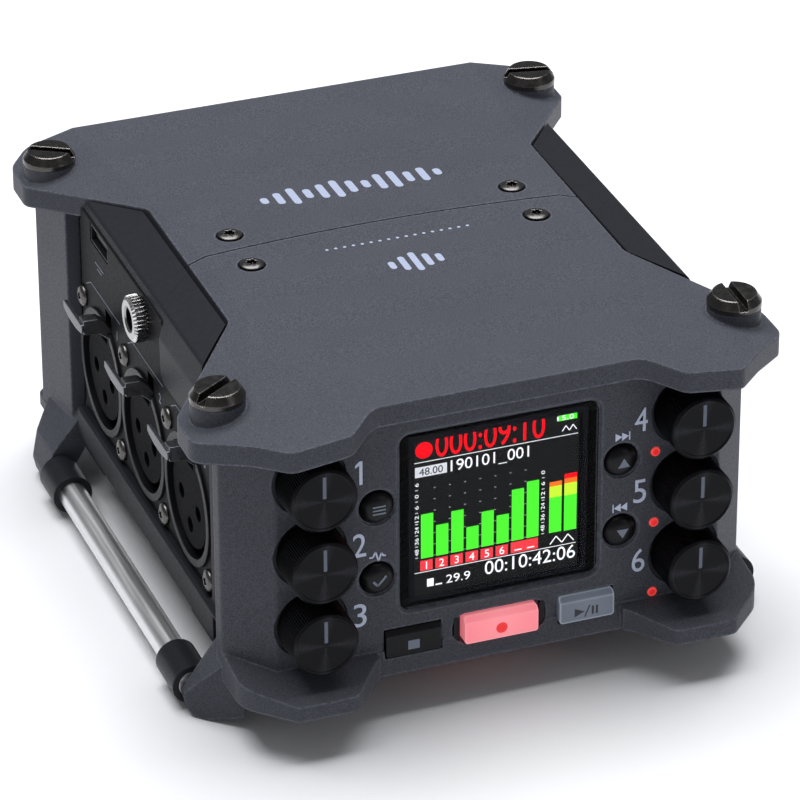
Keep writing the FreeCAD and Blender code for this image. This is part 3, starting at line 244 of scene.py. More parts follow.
def plastic(name, color, roughness, grain=5200, depth=0.00001, radius=0.00025, edge_highlight_tone=1.8,
            gloss=0.04):
    """Moulded plastic with a fine grain, and edges painted lighter as a highlight."""
    shader = Shader(name, color, roughness)
    shader.put("Specular IOR Level", gloss)
    shade = shader.mix(shader.noise(grain * 0.2, 3.0), shader.tone(0.8), shader.tone(1.25))
    # Edges are painted lighter: a painted highlight.
    edge_highlight_mask, rounded = shader.edge(radius)
    shader.link(shader.mix(edge_highlight_mask, shade, shader.tone(edge_highlight_tone)), shader.bsdf.inputs["Base Color"])
    shader.link(shader.spread(shader.noise(grain * 0.5), 0.3, 0.7, roughness - 0.05, roughness + 0.07),
                shader.bsdf.inputs["Roughness"])
    shader.bump(shader.noise(grain, 2.0), depth, rounded)
    return shader.material


def metal(name, color, roughness, stretch=(1, 1, 1), scale=1500, radius=0.0002, edge_highlight_tone=1.5,
          depth=0.000004):
    """Machined metal: tool marks along the short axis of stretch, small scratches, and edges painted brighter
    as a highlight.
    """
    shader = Shader(name, color, roughness, 1.0)
    marks = shader.noise(scale, 3.0, 0.6, stretch)
    shade = shader.mix(marks, shader.tone(0.78), shader.tone(1.18))
    # Edges are painted brighter: a painted highlight.
    edge_highlight_mask, rounded = shader.edge(radius)
    shader.link(shader.mix(edge_highlight_mask, shade, shader.tone(edge_highlight_tone)), shader.bsdf.inputs["Base Color"])
    shader.link(shader.spread(marks, 0.3, 0.7, roughness * 0.75, roughness * 1.3),
                shader.bsdf.inputs["Roughness"])
    shader.bump(marks, depth, rounded)
    return shader.material


def turned_face(name, color, roughness):
    """Black anodised aluminium, lathe-turned about local Y, with four light fans painted on its face as a
    highlight.
    """
    shader = Shader(name, color, roughness, 0.15)
    shader.put("Specular IOR Level", 0.1)
    parts = shader.add("ShaderNodeSeparateXYZ")
    shader.link(shader.space, parts.inputs[0])
    x, z = parts.outputs["X"], parts.outputs["Z"]
    squares = shader.math("ADD", shader.math("MULTIPLY", x, x), shader.math("MULTIPLY", z, z))
    radius = shader.math("SQRT", squares)
    shader.bump(shader.math("SINE", shader.math("MULTIPLY", radius, 52000.0)), 0.0000012)
    # Four fans are painted lighter about the axis as a painted highlight; shade and grain carry it into the
    # base colour.
    angle = shader.math("ADD", shader.math("MULTIPLY", shader.math("ARCTAN2", z, x), 2.0), 0.15)
    painted_fan_highlight = shader.math("POWER", shader.math("ABSOLUTE", shader.math("COSINE", angle)), 14.0)
    shade = shader.mix(painted_fan_highlight, color, shader.tone(4.5))
    grain = shader.mix(shader.noise(2500, 2.0), shader.tone(0.6), shade)
    shader.link(grain, shader.bsdf.inputs["Base Color"])
    return shader.material


def print_ink(name, color):
    """Screen-printed ink with slightly uneven cover."""
    shader = Shader(name, color, 0.45)
    cover = shader.spread(shader.noise(6000, 2.0), 0.25, 0.75)
    shader.link(shader.mix(cover, shader.tone(0.8), shader.tone(1.08)), shader.bsdf.inputs["Base Color"])
    shader.bump(shader.noise(9000, 1.0), 0.000004)
    return shader.material


def lit(name, color, strength, cell=0.00012, dim=0.93):
    """A lit display colour with a faint pixel grid."""
    shader = Shader(name, color, 0.4)
    parts = shader.add("ShaderNodeSeparateXYZ")
    shader.link(shader.space, parts.inputs[0])
    waves = [shader.math("COSINE", shader.math("MULTIPLY", parts.outputs[axis], math.tau / cell))
             for axis in ("X", "Z")]
    lowest = shader.math("MINIMUM", waves[0], waves[1])
    shader.link(shader.mix(shader.spread(lowest, -1, 0.2), shader.tone(dim), shader.color),
                shader.bsdf.inputs["Emission Color"])
    shader.put("Emission Strength", strength)
    shader.put("Base Color", (*shader.tone(0.3), 1))
    shader.put("Specular IOR Level", 0.0)
    return shader.material


def glow(name, color, core, rim_highlight, strength, centre, reach):
    """Translucent plastic made to glow, brighter near centre, with a painted highlight on its edges.

    centre is a point in the row frame, in metres, and reach is how far its light spreads.
    """
    shader = Shader(name, color, 0.32)
    away = shader.add("ShaderNodeVectorMath", operation="DISTANCE")
    shader.link(shader.space, away.inputs[0])
    away.inputs[1].default_value = centre
    near = shader.spread(away.outputs["Value"], reach, 0.0)
    # The edges get the rim colour as a painted highlight.
    edge_highlight_mask, rounded = shader.edge(0.0006)
    shader.link(shader.mix(edge_highlight_mask, shader.mix(near, color, core), rim_highlight), shader.bsdf.inputs["Emission Color"])
    shader.put("Emission Strength", strength)
    shader.link(shader.mix(shader.noise(1500), shader.tone(0.92), shader.tone(1.05)),
                shader.bsdf.inputs["Base Color"])
    shader.bump(shader.noise(5000), 0.000004, rounded)
    return shader.material


def gloss_black(name, color):
    """The black border behind the display glass, with a faint cloud in its depth."""
    shader = Shader(name, color, 0.18)
    shader.put("Specular IOR Level", 0.05)
    shader.link(shader.mix(shader.noise(160, 1.0), shader.tone(0.9), shader.tone(1.12)),
                shader.bsdf.inputs["Base Color"])
    return shader.material


def clear_glass(name):
    shader = Shader(name, (1, 1, 1), 0.03)
    clear = shader.add("ShaderNodeBsdfTransparent")
    clear.inputs["Color"].default_value = (0.97, 0.98, 1.0, 1)
    sheen = shader.add("ShaderNodeBsdfGlossy")
    sheen.inputs["Roughness"].default_value = 0.04
    gloss = shader.add("ShaderNodeFresnel")
    gloss.inputs["IOR"].default_value = 1.1
    blend = shader.add("ShaderNodeMixShader")
    shader.link(gloss.outputs["Fac"], blend.inputs["Fac"])
    shader.link(clear.outputs["BSDF"], blend.inputs[1])
    shader.link(sheen.outputs["BSDF"], blend.inputs[2])
    output = shader.tree.nodes["Material Output"]
    shader.link(blend.outputs["Shader"], output.inputs["Surface"])
    return shader.material


looks = {
    # The edge tone of each paint, plastic and metal look below sets how bright its painted edge highlight is.
    "casting_paint": paint("casting_paint", (0.0635, 0.0665, 0.079), 0.4),
    "cover_plastic": plastic("cover_plastic", (0.017, 0.0175, 0.021), 0.45, gloss=0.1),
    "input_panel": plastic("input_panel", (0.012, 0.012, 0.014), 0.5),
    "base_paint": paint("base_paint", (0.045, 0.046, 0.053), 0.5),
    "gunmetal": metal("gunmetal", (0.085, 0.08, 0.076), 0.26, (1, 1, 1), 900, 0.0003, 3.6, 0.000012),
    "screw_steel": metal("screw_steel", (0.105, 0.10, 0.096), 0.3, (1, 1, 1), 1800, 0.00012, 3.2),
    "bar_steel": metal("bar_steel", (0.86, 0.85, 0.86), 0.36, (1, 0.02, 1), 1400, 0.0002, 1.1, 0.0000005),
    "collar_rubber": plastic("collar_rubber", (0.017, 0.017, 0.021), 0.36, gloss=0.16),
    "knob_metal": turned_face("knob_metal", (0.0075, 0.0075, 0.0092), 0.34),
    "knob_grip": plastic("knob_grip", (0.0045, 0.0045, 0.0055), 0.4, 5200, 0.000006, 0.0001, gloss=0.12),
    "pot_case": plastic("pot_case", (0.03, 0.03, 0.033), 0.5),
    # The button rubber's edge tone of 5.0 paints a bright highlight ring on the rims of the domed buttons and
    # the stop key.
    "button_rubber": plastic("button_rubber", (0.0045, 0.0045, 0.0055), 0.32, 6000, 0.000005, 0.0005,
                             5.0, 0.2),
    # The record key's bright rim is a painted highlight.
    "record_glow": glow("record_glow", (0.80, 0.20, 0.235), (0.92, 0.30, 0.33), (1.0, 0.42, 0.45), 0.6,
                        (0.0, -0.0522, 0.0133), 0.0065),
    # The play lens is no lamp: its glow is painted light, and its bright rim a painted highlight.
    "play_lens": glow("play_lens", (0.10, 0.12, 0.155), (0.17, 0.20, 0.255), (0.62, 0.68, 0.76), 0.34,
                      (0.0145, -0.0521, 0.0133), 0.006),
    "led_lens": glow("led_lens", (0.70, 0.01, 0.012), (0.8, 0.03, 0.03), (0.9, 0.12, 0.1), 0.62,
                     (0.026, -0.0511, 0.0256), 0.03),
    "screen_glass": clear_glass("screen_glass"),
    "screen_module": gloss_black("screen_module", (0.0032, 0.0030, 0.0062)),
    "circuit_board": plastic("circuit_board", (0.01, 0.09, 0.04), 0.35),
    "insert_plastic": plastic("insert_plastic", (0.0042, 0.0042, 0.005), 0.55, gloss=0.02),
    "contact_gold": metal("contact_gold", (0.75, 0.5, 0.18), 0.25),
    "socket_metal": plastic("socket_metal", (0.008, 0.008, 0.0095), 0.35, 4000, 0.000006, 0.0003, 4.0, 0.1),
    "latch_steel": metal("latch_steel", (0.115, 0.115, 0.125), 0.36, (1, 1, 1), 2500, 0.00025, 2.6, 0.000008),
    "port_shell": plastic("port_shell", (0.016, 0.016, 0.018), 0.35, gloss=0.1),
    "jack_plastic": plastic("jack_plastic", (0.006, 0.006, 0.007), 0.4),
    "nut_nickel": metal("nut_nickel", (0.34, 0.335, 0.33), 0.2, (1, 1, 1), 2500, 0.0001, 2.4),
    "switch_plastic": plastic("switch_plastic", (0.009, 0.009, 0.010), 0.45),
    "tray_plastic": plastic("tray_plastic", (0.012, 0.012, 0.014), 0.5),
    "cell_wrap": metal("cell_wrap", (0.3, 0.31, 0.33), 0.35, (1, 0.1, 1)),
    "bush_brass": metal("bush_brass", (0.65, 0.45, 0.2), 0.3),
}
ink = print_ink("print_ink", (0.40, 0.45, 0.59))
front_ink = print_ink("front_ink", (0.60, 0.66, 0.83))
icon_ink = print_ink("icon_ink", (0.17, 0.20, 0.26))
dark_ink = print_ink("dark_ink", (0.02, 0.02, 0.025))
icon_mark = print_ink("icon_mark", (0.10, 0.12, 0.165))


def finish_nodes():
    """Gives every CAD node the detailed look of its slot. The data port has a darker look of its own."""
    for entry in frame["record"]["subparts"]:
        item = nodes[entry["node"]]
        item.data.materials.clear()
        slot = "port_shell" if entry["node"] == "data_port" else entry["material_slot"]
        item.data.materials.append(looks[slot])


# ---------------------------------------------------------------- mesh pieces

def piece(name, mesh, materials, body, place=None, smooth=None):
    """Links a mesh as a piece in the row frame, with its materials, riding on a CAD body."""
    item = bpy.data.objects.new(name, mesh)
    bpy.context.scene.collection.objects.link(item)
    for material in materials:
        mesh.materials.append(material)
    if place is not None:
        item.matrix_world = place
    if smooth is not None:
        for polygon in mesh.polygons:
            polygon.use_smooth = True
        mesh.set_sharp_from_angle(angle=math.radians(smooth))
    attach(item, body)
    return item


def rings_mesh(name, rings, closed_start=True, closed_end=True, slots=None):
    """A mesh through rings of equal point counts; slots gives each band's material index."""
    count = len(rings[0])
    verts = [p for ring in rings for p in ring]
    faces = []
    marks = []
    for band in range(len(rings) - 1):
        for i in range(count):
            j = (i + 1) % count
            faces.append((band * count + i, band * count + j, (band + 1) * count + j, (band + 1) * count + i))
            marks.append(slots[band] if slots else 0)
    if closed_start:
        faces.append(tuple(reversed(range(count))))
        marks.append(slots[0] if slots else 0)
    if closed_end:
        faces.append(tuple(range((len(rings) - 1) * count, len(rings) * count)))
        marks.append(slots[-1] if slots else 0)
    mesh = bpy.data.meshes.new(name)
    mesh.from_pydata([tuple(c * MM for c in p) for p in verts], [], faces)
    mesh.polygons.foreach_set("material_index", marks)
    shell = bmesh.new()
    shell.from_mesh(mesh)
    bmesh.ops.recalc_face_normals(shell, faces=shell.faces)
    shell.to_mesh(mesh)
    shell.free()
    return mesh


def ring(radius, depth, count, wave=0.0, lobes=0, turn=0.0):
    """A ring about local Y at y = depth, in millimetres, with an optional scalloped radius."""
    points = []
    for i in range(count):
        angle = math.tau * i / count
        reach = radius + (wave * math.cos(lobes * angle) if lobes else 0.0)
        points.append((reach * math.cos(angle + turn), depth, reach * math.sin(angle + turn)))
    return points


def join_meshes(name, parts):
    """One mesh from (mesh, matrix) parts."""
    joined = bmesh.new()
    for mesh, matrix in parts:
        part = mesh.copy()
        part.transform(matrix)
        joined.from_mesh(part)
        bpy.data.meshes.remove(part)
    result = bpy.data.meshes.new(name)
    joined.to_mesh(result)
    joined.free()
    return result


class Print:
    """Flat artwork in (u, v) millimetres with a small thickness, for one plane."""

    def __init__(self):
        self.mesh = bmesh.new()

    def shape(self, points, thick=INK_THICK):
        low = [self.mesh.verts.new((u, v, 0)) for u, v in points]
        high = [self.mesh.verts.new((u, v, thick)) for u, v in points]
        count = len(points)
        self.mesh.faces.new(list(reversed(low)))
        self.mesh.faces.new(high)
        for i in range(count):
            j = (i + 1) % count
            self.mesh.faces.new((low[i], low[j], high[j], high[i]))
        return self

    def bar(self, u, v, wide, tall, thick=INK_THICK):
        return self.shape([(u, v), (u + wide, v), (u + wide, v + tall), (u, v + tall)], thick)

    def disc(self, u, v, radius, count=40, thick=INK_THICK):
        return self.shape([(u + radius * math.cos(math.tau * i / count),
                            v + radius * math.sin(math.tau * i / count)) for i in range(count)], thick)

    def line(self, points, wide, thick=INK_THICK):
        for (u0, v0), (u1, v1) in zip(points, points[1:]):
            length = math.hypot(u1 - u0, v1 - v0)
            nu, nv = -(v1 - v0) / length * wide / 2, (u1 - u0) / length * wide / 2
            self.shape([(u0 - nu, v0 - nv), (u1 - nu, v1 - nv), (u1 + nu, v1 + nv), (u0 + nu, v0 + nv)],
                       thick)
        return self

    def text(self, words, u, v, tall, wide=None, anchor="centre", weight=0.0, thick=INK_THICK, turn=0.0):
        """Words scaled to a height and width in millimetres.

        (u, v) is their middle, or their lower left corner when anchor isn't "centre".
        """
        curve = bpy.data.curves.new("words", "FONT")
        curve.body = words
        curve.size = 10
        curve.offset = weight
        curve.extrude = 0.5
        item = bpy.data.objects.new("words", curve)
        bpy.context.scene.collection.objects.link(item)
        mesh = bpy.data.meshes.new_from_object(item.evaluated_get(bpy.context.evaluated_depsgraph_get()))
        bpy.data.objects.remove(item)
        bpy.data.curves.remove(curve)
        us = [p.co.x for p in mesh.vertices]
        vs = [p.co.y for p in mesh.vertices]
        stretch_v = tall / (max(vs) - min(vs))
        stretch_u = wide / (max(us) - min(us)) if wide else stretch_v
        middle = ((max(us) + min(us)) / 2, (max(vs) + min(vs)) / 2)
        origin = middle if anchor == "centre" else (min(us), min(vs))
        matrix = (Matrix.Translation((u, v, thick / 2)) @ Matrix.Rotation(turn, 4, "Z")
                  @ Matrix.Diagonal((stretch_u, stretch_v, thick, 1))
                  @ Matrix.Translation((-origin[0], -origin[1], 0)))
        mesh.transform(matrix)
        self.mesh.from_mesh(mesh)
        bpy.data.meshes.remove(mesh)
        return self

    def done(self, name, material, body, slot, place):
        mesh = bpy.data.meshes.new(name)
        bmesh.ops.recalc_face_normals(self.mesh, faces=self.mesh.faces)
        self.mesh.to_mesh(mesh)
        self.mesh.free()
        mesh.transform(Matrix.Scale(MM, 4))
        mesh.transform(place)
        return piece(name, mesh, [material], body)


def plane_at(x, y, z, u_axis, v_axis):
    """Places (u, v) artwork at a point in millimetres, facing along u cross v."""
    u_dir = Vector(u_axis).normalized()
    v_dir = Vector(v_axis).normalized()
    out = u_dir.cross(v_dir)
    matrix = Matrix((u_dir, v_dir, out)).transposed().to_4x4()
    matrix.translation = Vector((x, y, z)) * MM
    return matrix


def front_plane(y, x=0.0, z=0.0):
    return plane_at(x, y, z, (1, 0, 0), (0, 0, 1))


def top_plane(x, y):
    """Just over the top plates, which fall away from the seam at y = 0."""
    return plane_at(x, y, TOP_Z - abs(y) * TOP_SLOPE + 0.01, (1, 0, 0),
                    (0, 1, math.copysign(TOP_SLOPE, -y)))


def side_plane(side):
    """Over an input panel; side is -1 on the left, and u runs to the right when seen from there."""
    return plane_at(side * SIDE_FACE, 0, 0, (0, side, 0), (0, 0, 1))


def front_of(node):
    """The y of a CAD node's front face, in millimetres."""
    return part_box(node)[0].y / MM


def rounded_bar(art, u, v, wide, tall, thick=INK_THICK):
    """An upright bar with round ends; (u, v) is its middle."""
    radius = wide / 2
    points = []
    for i in range(9):
        angle = math.pi * i / 8
        points.append((u + radius * math.cos(angle), v + tall / 2 - radius + radius * math.sin(angle)))
    for i in range(9):
        angle = math.pi + math.pi * i / 8
        points.append((u + radius * math.cos(angle), v - tall / 2 + radius + radius * math.sin(angle)))
    art.shape(points, thick)


# ---------------------------------------------------------------- knobs

KNOB_RIBS = 84


def knob_mesh():
    """A knurled knob about local Y: y = 0 is its front face and +y runs back."""
    count = KNOB_RIBS * 4
    wave = 0.10
    grip = 5.34
    rings = [
        ring(0.05, 0.12, count), ring(4.55, 0.12, count), ring(4.72, 0.0, count), ring(4.98, 0.0, count),
        ring(5.16, 0.18, count), ring(grip, 0.36, count, wave, KNOB_RIBS),
        ring(grip, 7.42, count, wave, KNOB_RIBS), ring(5.1, 7.5, count), ring(3.0, 7.5, count),
        ring(3.0, 12.19, count),
    ]
    return rings_mesh("knob", rings, slots=[0, 0, 0, 0, 1, 1, 1, 1, 1])


def build_knobs():
    shared = knob_mesh()
    for number in range(1, 7):
        low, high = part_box(f"knob_{number}")
        middle = (low + high) / 2
        place = Matrix.Translation((middle.x, low.y, middle.z))
        mesh = shared.copy()
        item = piece(f"knob_{number}_turned", mesh, [looks["knob_metal"], looks["knob_grip"]],
                     f"knob_{number}", place, 32)
        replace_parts(item, f"knob_{number}")
        mark = Print().bar(-0.28, 0.55, 0.56, 3.75, 0.1)
        mark.done(f"knob_{number}_mark", icon_mark, f"knob_{number}", "knob_metal",
                  front_plane(low.y / MM + 0.14, middle.x / MM, middle.z / MM))


def build_dial():
    """The volume thumbwheel, knurled about Z, with its stem below."""
    ribs = 66
    count = ribs * 4
    wave = 0.12
    low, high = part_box("volume_dial")
    middle = (low + high) / 2
    rings = [
        ring(1.5, 0.0, count), ring(1.5, 3.2, count), ring(5.5, 3.2, count),
        ring(5.86, 3.45, count, wave, ribs), ring(5.86, 6.15, count, wave, ribs),
        ring(5.5, 6.4, count), ring(0.05, 6.4, count),
    ]
    mesh = rings_mesh("dial", rings, slots=[0, 0, 1, 1, 1, 0])
    place = Matrix.Translation((middle.x, middle.y, low.z)) @ Matrix.Rotation(math.pi / 2, 4, "X")
    item = piece("volume_wheel", mesh, [looks["knob_metal"], looks["knob_grip"]], "volume_dial",
                 place, 32)
    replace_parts(item, "volume_dial")


# ---------------------------------------------------------------- screws, nuts and buttons

def star_screw(radius, tall, dome, star, depth):
    """A button head about local Y with a six-lobe socket: y = 0 is its crown and +y runs to its seat."""
    count = 96
    lobes = 0.16 * star
    rings = [
        ring(star * 0.5, depth, count), ring(star, depth, count, lobes, 6), ring(star, 0.06, count, lobes, 6),
        ring(star * 1.12, 0.0, count, lobes, 6), ring(radius * 0.72, dome * 0.22, count),
        ring(radius * 0.92, dome * 0.6, count), ring(radius, dome, count), ring(radius, tall, count),
    ]
    return rings_mesh("screw", rings)


def build_screws():
    head = star_screw(1.94, 1.29, 0.34, 0.82, 0.75)
    upright = Matrix.Rotation(-math.pi / 2, 4, "X")
    front_row, rear_row = 5.0, 5.8
    fall = 0.0166
    spots = []
    for x in (-24.3, 24.3):
        for y in (-front_row, rear_row):
            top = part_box("seam_screws")[1].z / MM + fall * (front_row - abs(y))
            spots.append((head, Matrix.Translation(Vector((x, y, top)) * MM) @ upright))
    heads = join_meshes("seam_heads", spots)
    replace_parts(piece("seam_screw_heads", heads, [looks["screw_steel"]], "chassis", smooth=40),
                "seam_screws")
    side_head = star_screw(1.88, 0.88, 0.62, 0.72, 0.6)
    crown_x = 42.33
    diagonal = 9.6
    spots = []
    for side in (-1, 1):
        for step in (-1, 0, 1):
            for sign in (-1, 1):
                y = SOCKET_MIDDLE + step * SOCKET_STEP + sign * diagonal
                spot = Vector((side * crown_x, y, SOCKET_Z + sign * diagonal)) * MM
                outward = Matrix.Rotation(side * math.pi / 2, 4, "Z")
                spots.append((side_head, Matrix.Translation(spot) @ outward))
    heads = join_meshes("side_heads", spots)
    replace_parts(piece("side_screw_heads", heads, [looks["screw_steel"]], "chassis", smooth=40),
                "input_screws")


def build_nuts():
    """A knurled ring on the left jack and a low one on each of the two right jacks."""
    ribs = 34
    count = ribs * 6
    front_jack, rear_jack, jack_z = -0.9, 10.1, 50.1
    rings = [
        ring(1.95, 2.35, count), ring(1.95, 0.35, count), ring(2.25, 0.0, count), ring(3.15, 0.0, count),
        ring(3.62, 0.42, count, 0.24, ribs), ring(3.66, 1.9, count, 0.28, ribs), ring(3.5, 2.34, count),
    ]
    shared = rings_mesh("nut", rings, closed_start=False, closed_end=False)
    spot = Vector((-43.8, front_jack, jack_z)) * MM
    spots = [(shared, Matrix.Translation(spot) @ Matrix.Rotation(-math.pi / 2, 4, "Z"))]
    low = rings_mesh("low_nut", [ring(2.97, 0.45, count), ring(2.97, 0.0, count), ring(3.18, 0.0, count),
                                 ring(3.28, 0.1, count), ring(3.28, 0.45, count)],
                     closed_start=False, closed_end=False)
    for y in (front_jack, rear_jack):
        spot = Vector((41.9, y, jack_z)) * MM
        spots.append((low, Matrix.Translation(spot) @ Matrix.Rotation(math.pi / 2, 4, "Z")))
    mesh = join_meshes("nuts", spots)
    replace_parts(piece("knurled_nuts", mesh, [looks["nut_nickel"]], "chassis", smooth=35),
                "jack_nuts")


def dome_button(name):
    """A domed button in place of a CAD one. It gives the plane for its icon."""
    low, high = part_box(name)
    middle = (low + high) / 2
    count = 64
    rings = [
        ring(0.04, 0.0, count), ring(0.9, 0.05, count), ring(1.6, 0.2, count), ring(2.15, 0.46, count),
        ring(2.5, 0.8, count), ring(2.66, 1.15, count), ring(2.7, 1.6, count), ring(2.7, 3.6, count),
        ring(3.28, 3.7, count), ring(3.28, 4.3, count), ring(1.0, 4.3, count), ring(1.0, 5.58, count),
    ]
    mesh = rings_mesh(name, rings)
    item = piece(name + "_dome", mesh, [looks["button_rubber"]], name,
                 Matrix.Translation((middle.x, low.y, middle.z)), 50)
    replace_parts(item, name)
    return front_plane(low.y / MM + 0.16, middle.x / MM, middle.z / MM)


def build_buttons():
    icon_thick = 0.22
    place = dome_button("menu_button")
    art = Print()
    for v in (-0.62, 0.0, 0.62):
        art.bar(-1.05, v - 0.13, 2.1, 0.26, icon_thick)
    art.done("menu_icon", icon_ink, "menu_button", "button_rubber", place)
    place = dome_button("enter_button")
    Print().line([(-1.05, 0.1), (-0.3, -0.75), (1.1, 0.8)], 0.36, icon_thick).done(
        "enter_icon", icon_ink, "enter_button", "button_rubber", place)
    for name, sign in (("forward_button", 1), ("back_button", -1)):
        place = dome_button(name)
        triangle = [(-1.0, -0.75 * sign), (1.0, -0.75 * sign), (0, 0.85 * sign)]
        Print().shape(triangle[::sign], icon_thick).done(
            name + "_icon", icon_ink, name, "button_rubber", place)
    Print().bar(-0.95, -0.8, 1.9, 1.6).done(
        "stop_icon", icon_ink, "stop_button", "button_rubber",
        front_plane(front_of("stop_button"), -KEY_SHIFT, ICON_Z))
    Print().disc(0, 0, 0.95).done(
        "record_dot", looks["led_lens"], "record_button", "record_glow",
        front_plane(front_of("record_button"), 0, 12.7))
    # Two dark posts stand beside the record key where its recess lies in shade: painted shade.
    shadow_post_foot = -50.3
    posts = Print()
    for side in (-1, 1):
        rounded_bar(posts, side * 7.2, 13.2, 0.9, 4.4, 0.75)
    posts.done("record_shadow_posts", looks["button_rubber"], "chassis", "button_rubber", front_plane(shadow_post_foot))
    art = Print().shape([(-2.1, -0.75), (-0.4, 0), (-2.1, 0.75)]).line([(-0.35, -1.0), (0.45, 1.0)], 0.2)
    art.bar(0.8, -0.75, 0.36, 1.5).bar(1.5, -0.75, 0.36, 1.5)
    art.done("play_icon", dark_ink, "play_button", "play_lens",
             front_plane(front_of("play_button"), KEY_SHIFT, ICON_Z))


# ---------------------------------------------------------------- screen

FRAME_THICK = 0.02
LEVELS = [34.1, 31.7, 33.65, 30.25, 32.5, 31.3, 35.4, 36.35]    # tops of the level bars


def frame_shape(art, outer, inner):
    """A rectangular frame from four bars; outer and inner are (left, low, right, high)."""
    left, low, right, high = outer
    in_left, in_low, in_right, in_high = inner
    art.bar(left, low, right - left, in_low - low, FRAME_THICK)
    art.bar(left, in_high, right - left, high - in_high, FRAME_THICK)
    art.bar(left, in_low, in_left - left, in_high - in_low, FRAME_THICK)
    art.bar(in_right, in_low, right - in_right, in_high - in_low, FRAME_THICK)


def build_screen():
    """The lit picture. Heights are the CAD's z, and the level bars stand column_step apart.

    The readings and LEVELS are still the photo's own and should become generic.
    """
    y = front_of("screen_module")
    sheet = y - 0.02
    ink_y = y - 0.06
    over_ink = ink_y - 0.04
    column_step, row_step = 2.515, 2.02
    bar_foot, bar_wide = 26.2, 2.02

    def put(art, name, material, depth=ink_y):
        art.done(name, material, "chassis", "screen_module", front_plane(depth))

    black = lit("screen_black", (0.0105, 0.0105, 0.0105), 1.0)
    green = lit("screen_green", (0.085, 1.0, 0.035), 1.0)
    red = lit("screen_red", (1.0, 0.005, 0.012), 1.1)
    white = lit("screen_white", (0.95, 0.95, 0.95), 1.1)
    yellow = lit("screen_yellow", (0.62, 1.0, 0.04), 1.0)
    orange = lit("screen_orange", (1.0, 0.19, 0.02), 1.0)
    rose = lit("screen_rose", (1.0, 0.055, 0.07), 0.95)
    grey = lit("screen_grey", (0.72, 0.72, 0.74), 1.0)

    put(Print().bar(-13.86, 19.45, 27.72, 28.6, 0.015), "screen_field", black, sheet)
    mask = Print()
    frame_shape(mask, (-16.3, 18.6, 16.3, 49.4), (-13.9, 20.2, 14.0, 47.7))
    mask_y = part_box("screen_glass")[1].y / MM
    mask.done("screen_mask", looks["screen_module"], "chassis", "screen_module", front_plane(mask_y + 0.03))

    put(Print().disc(-11.89, 45.48, 1.43), "screen_dot", red)
    put(Print().text("000:09:10", -10.0, 43.8, 4.3, 18.1, "corner"), "screen_count", red)
    rules = Print().bar(-13.55, 43.36, 27.2, 0.1).bar(-13.46, 23.66, 27.0, 0.1)
    rules.text("190101_001", -7.5, 40.5, 2.3, 13.0, "corner")
    rules.text("00:10:42:06", -1.74, 21.0, 2.4, 15.2, "corner")
    rules.text("29.9", -8.2, 20.85, 1.5, 4.0, "corner")
    rules.shape([(-11.4, 20.9), (-10.3, 20.9), (-10.3, 22.3), (-11.4, 22.3)]).bar(-10.0, 20.9, 1.1, 0.25)
    rules.line([(11.0, 44.2), (11.6, 45.1), (12.2, 44.2), (12.8, 45.1), (13.4, 44.2)], 0.16)
    rules.line([(9.2, 24.2), (10.2, 25.5), (11.2, 24.2), (12.2, 25.5), (13.2, 24.2)], 0.18)
    ticks = Print()
    for row in range(7):
        level = 26.4 + row * row_step
        rules.bar(-13.35, level, 0.45, 0.08)
        if row < 6:
            rules.bar(7.7, level, 0.45, 0.08)
        for column in range(7):
            ticks.bar(-10.3 + column * column_step, level, 0.32, 0.05)
    put(ticks, "screen_ticks", grey)
    for row, mark in enumerate(("48", "36", "24", "12", "6", "0", "6")):
        wide = 1.15 if len(mark) > 1 else 0.6
        for u in (-13.1, 7.9) if row < 6 else (-13.1,):
            rules.text(mark, u, 27.4 + row * row_step, 0.62, wide, turn=math.pi / 2)
    put(rules, "screen_marks", white)
    bars = Print()
    for column, level in enumerate(LEVELS):
        bars.bar(-12.4 + column * column_step, bar_foot, bar_wide, level - bar_foot)
    bars.bar(9.0, 26.3, 2.05, 6.36).bar(11.5, bar_foot, 2.1, 6.37).bar(10.35, 46.1, 3.1, 0.95)
    put(bars, "screen_levels", green)
    put(Print().bar(9.0, 32.66, 2.05, 1.97).bar(11.5, 32.57, 2.1, 2.16), "screen_warm", yellow)
    put(Print().bar(9.0, 34.63, 2.05, 0.81).bar(11.5, 34.73, 2.1, 0.89), "screen_hot", orange)
    put(Print().bar(11.5, 35.62, 2.1, 0.8), "screen_peak", red)
    boxes = Print()
    for column in range(6):
        boxes.bar(-12.53 + column * column_step, 23.95, 2.05, 1.85)
    boxes.bar(2.6, 23.98, 4.55, 1.95)
    put(boxes, "screen_boxes", rose)
    digits = Print()
    for column in range(6):
        digits.text(str(column + 1), -11.5 + column * column_step, 24.87, 1.35)
    digits.bar(3.2, 24.35, 1.2, 0.2).bar(5.3, 24.35, 1.2, 0.2).bar(10.1, 46.2, 0.25, 0.75)
    put(digits, "screen_numbers", white, over_ink)
    put(Print().bar(-13.37, 40.8, 5.25, 1.8), "screen_box", grey)
    put(Print().text("48.00", -10.75, 41.7, 1.25, 3.9), "screen_rate", black, over_ink)
    put(Print().text("5.0", 11.9, 46.6, 0.8, 2.0), "screen_charge", white, over_ink)


# ---------------------------------------------------------------- printed marks

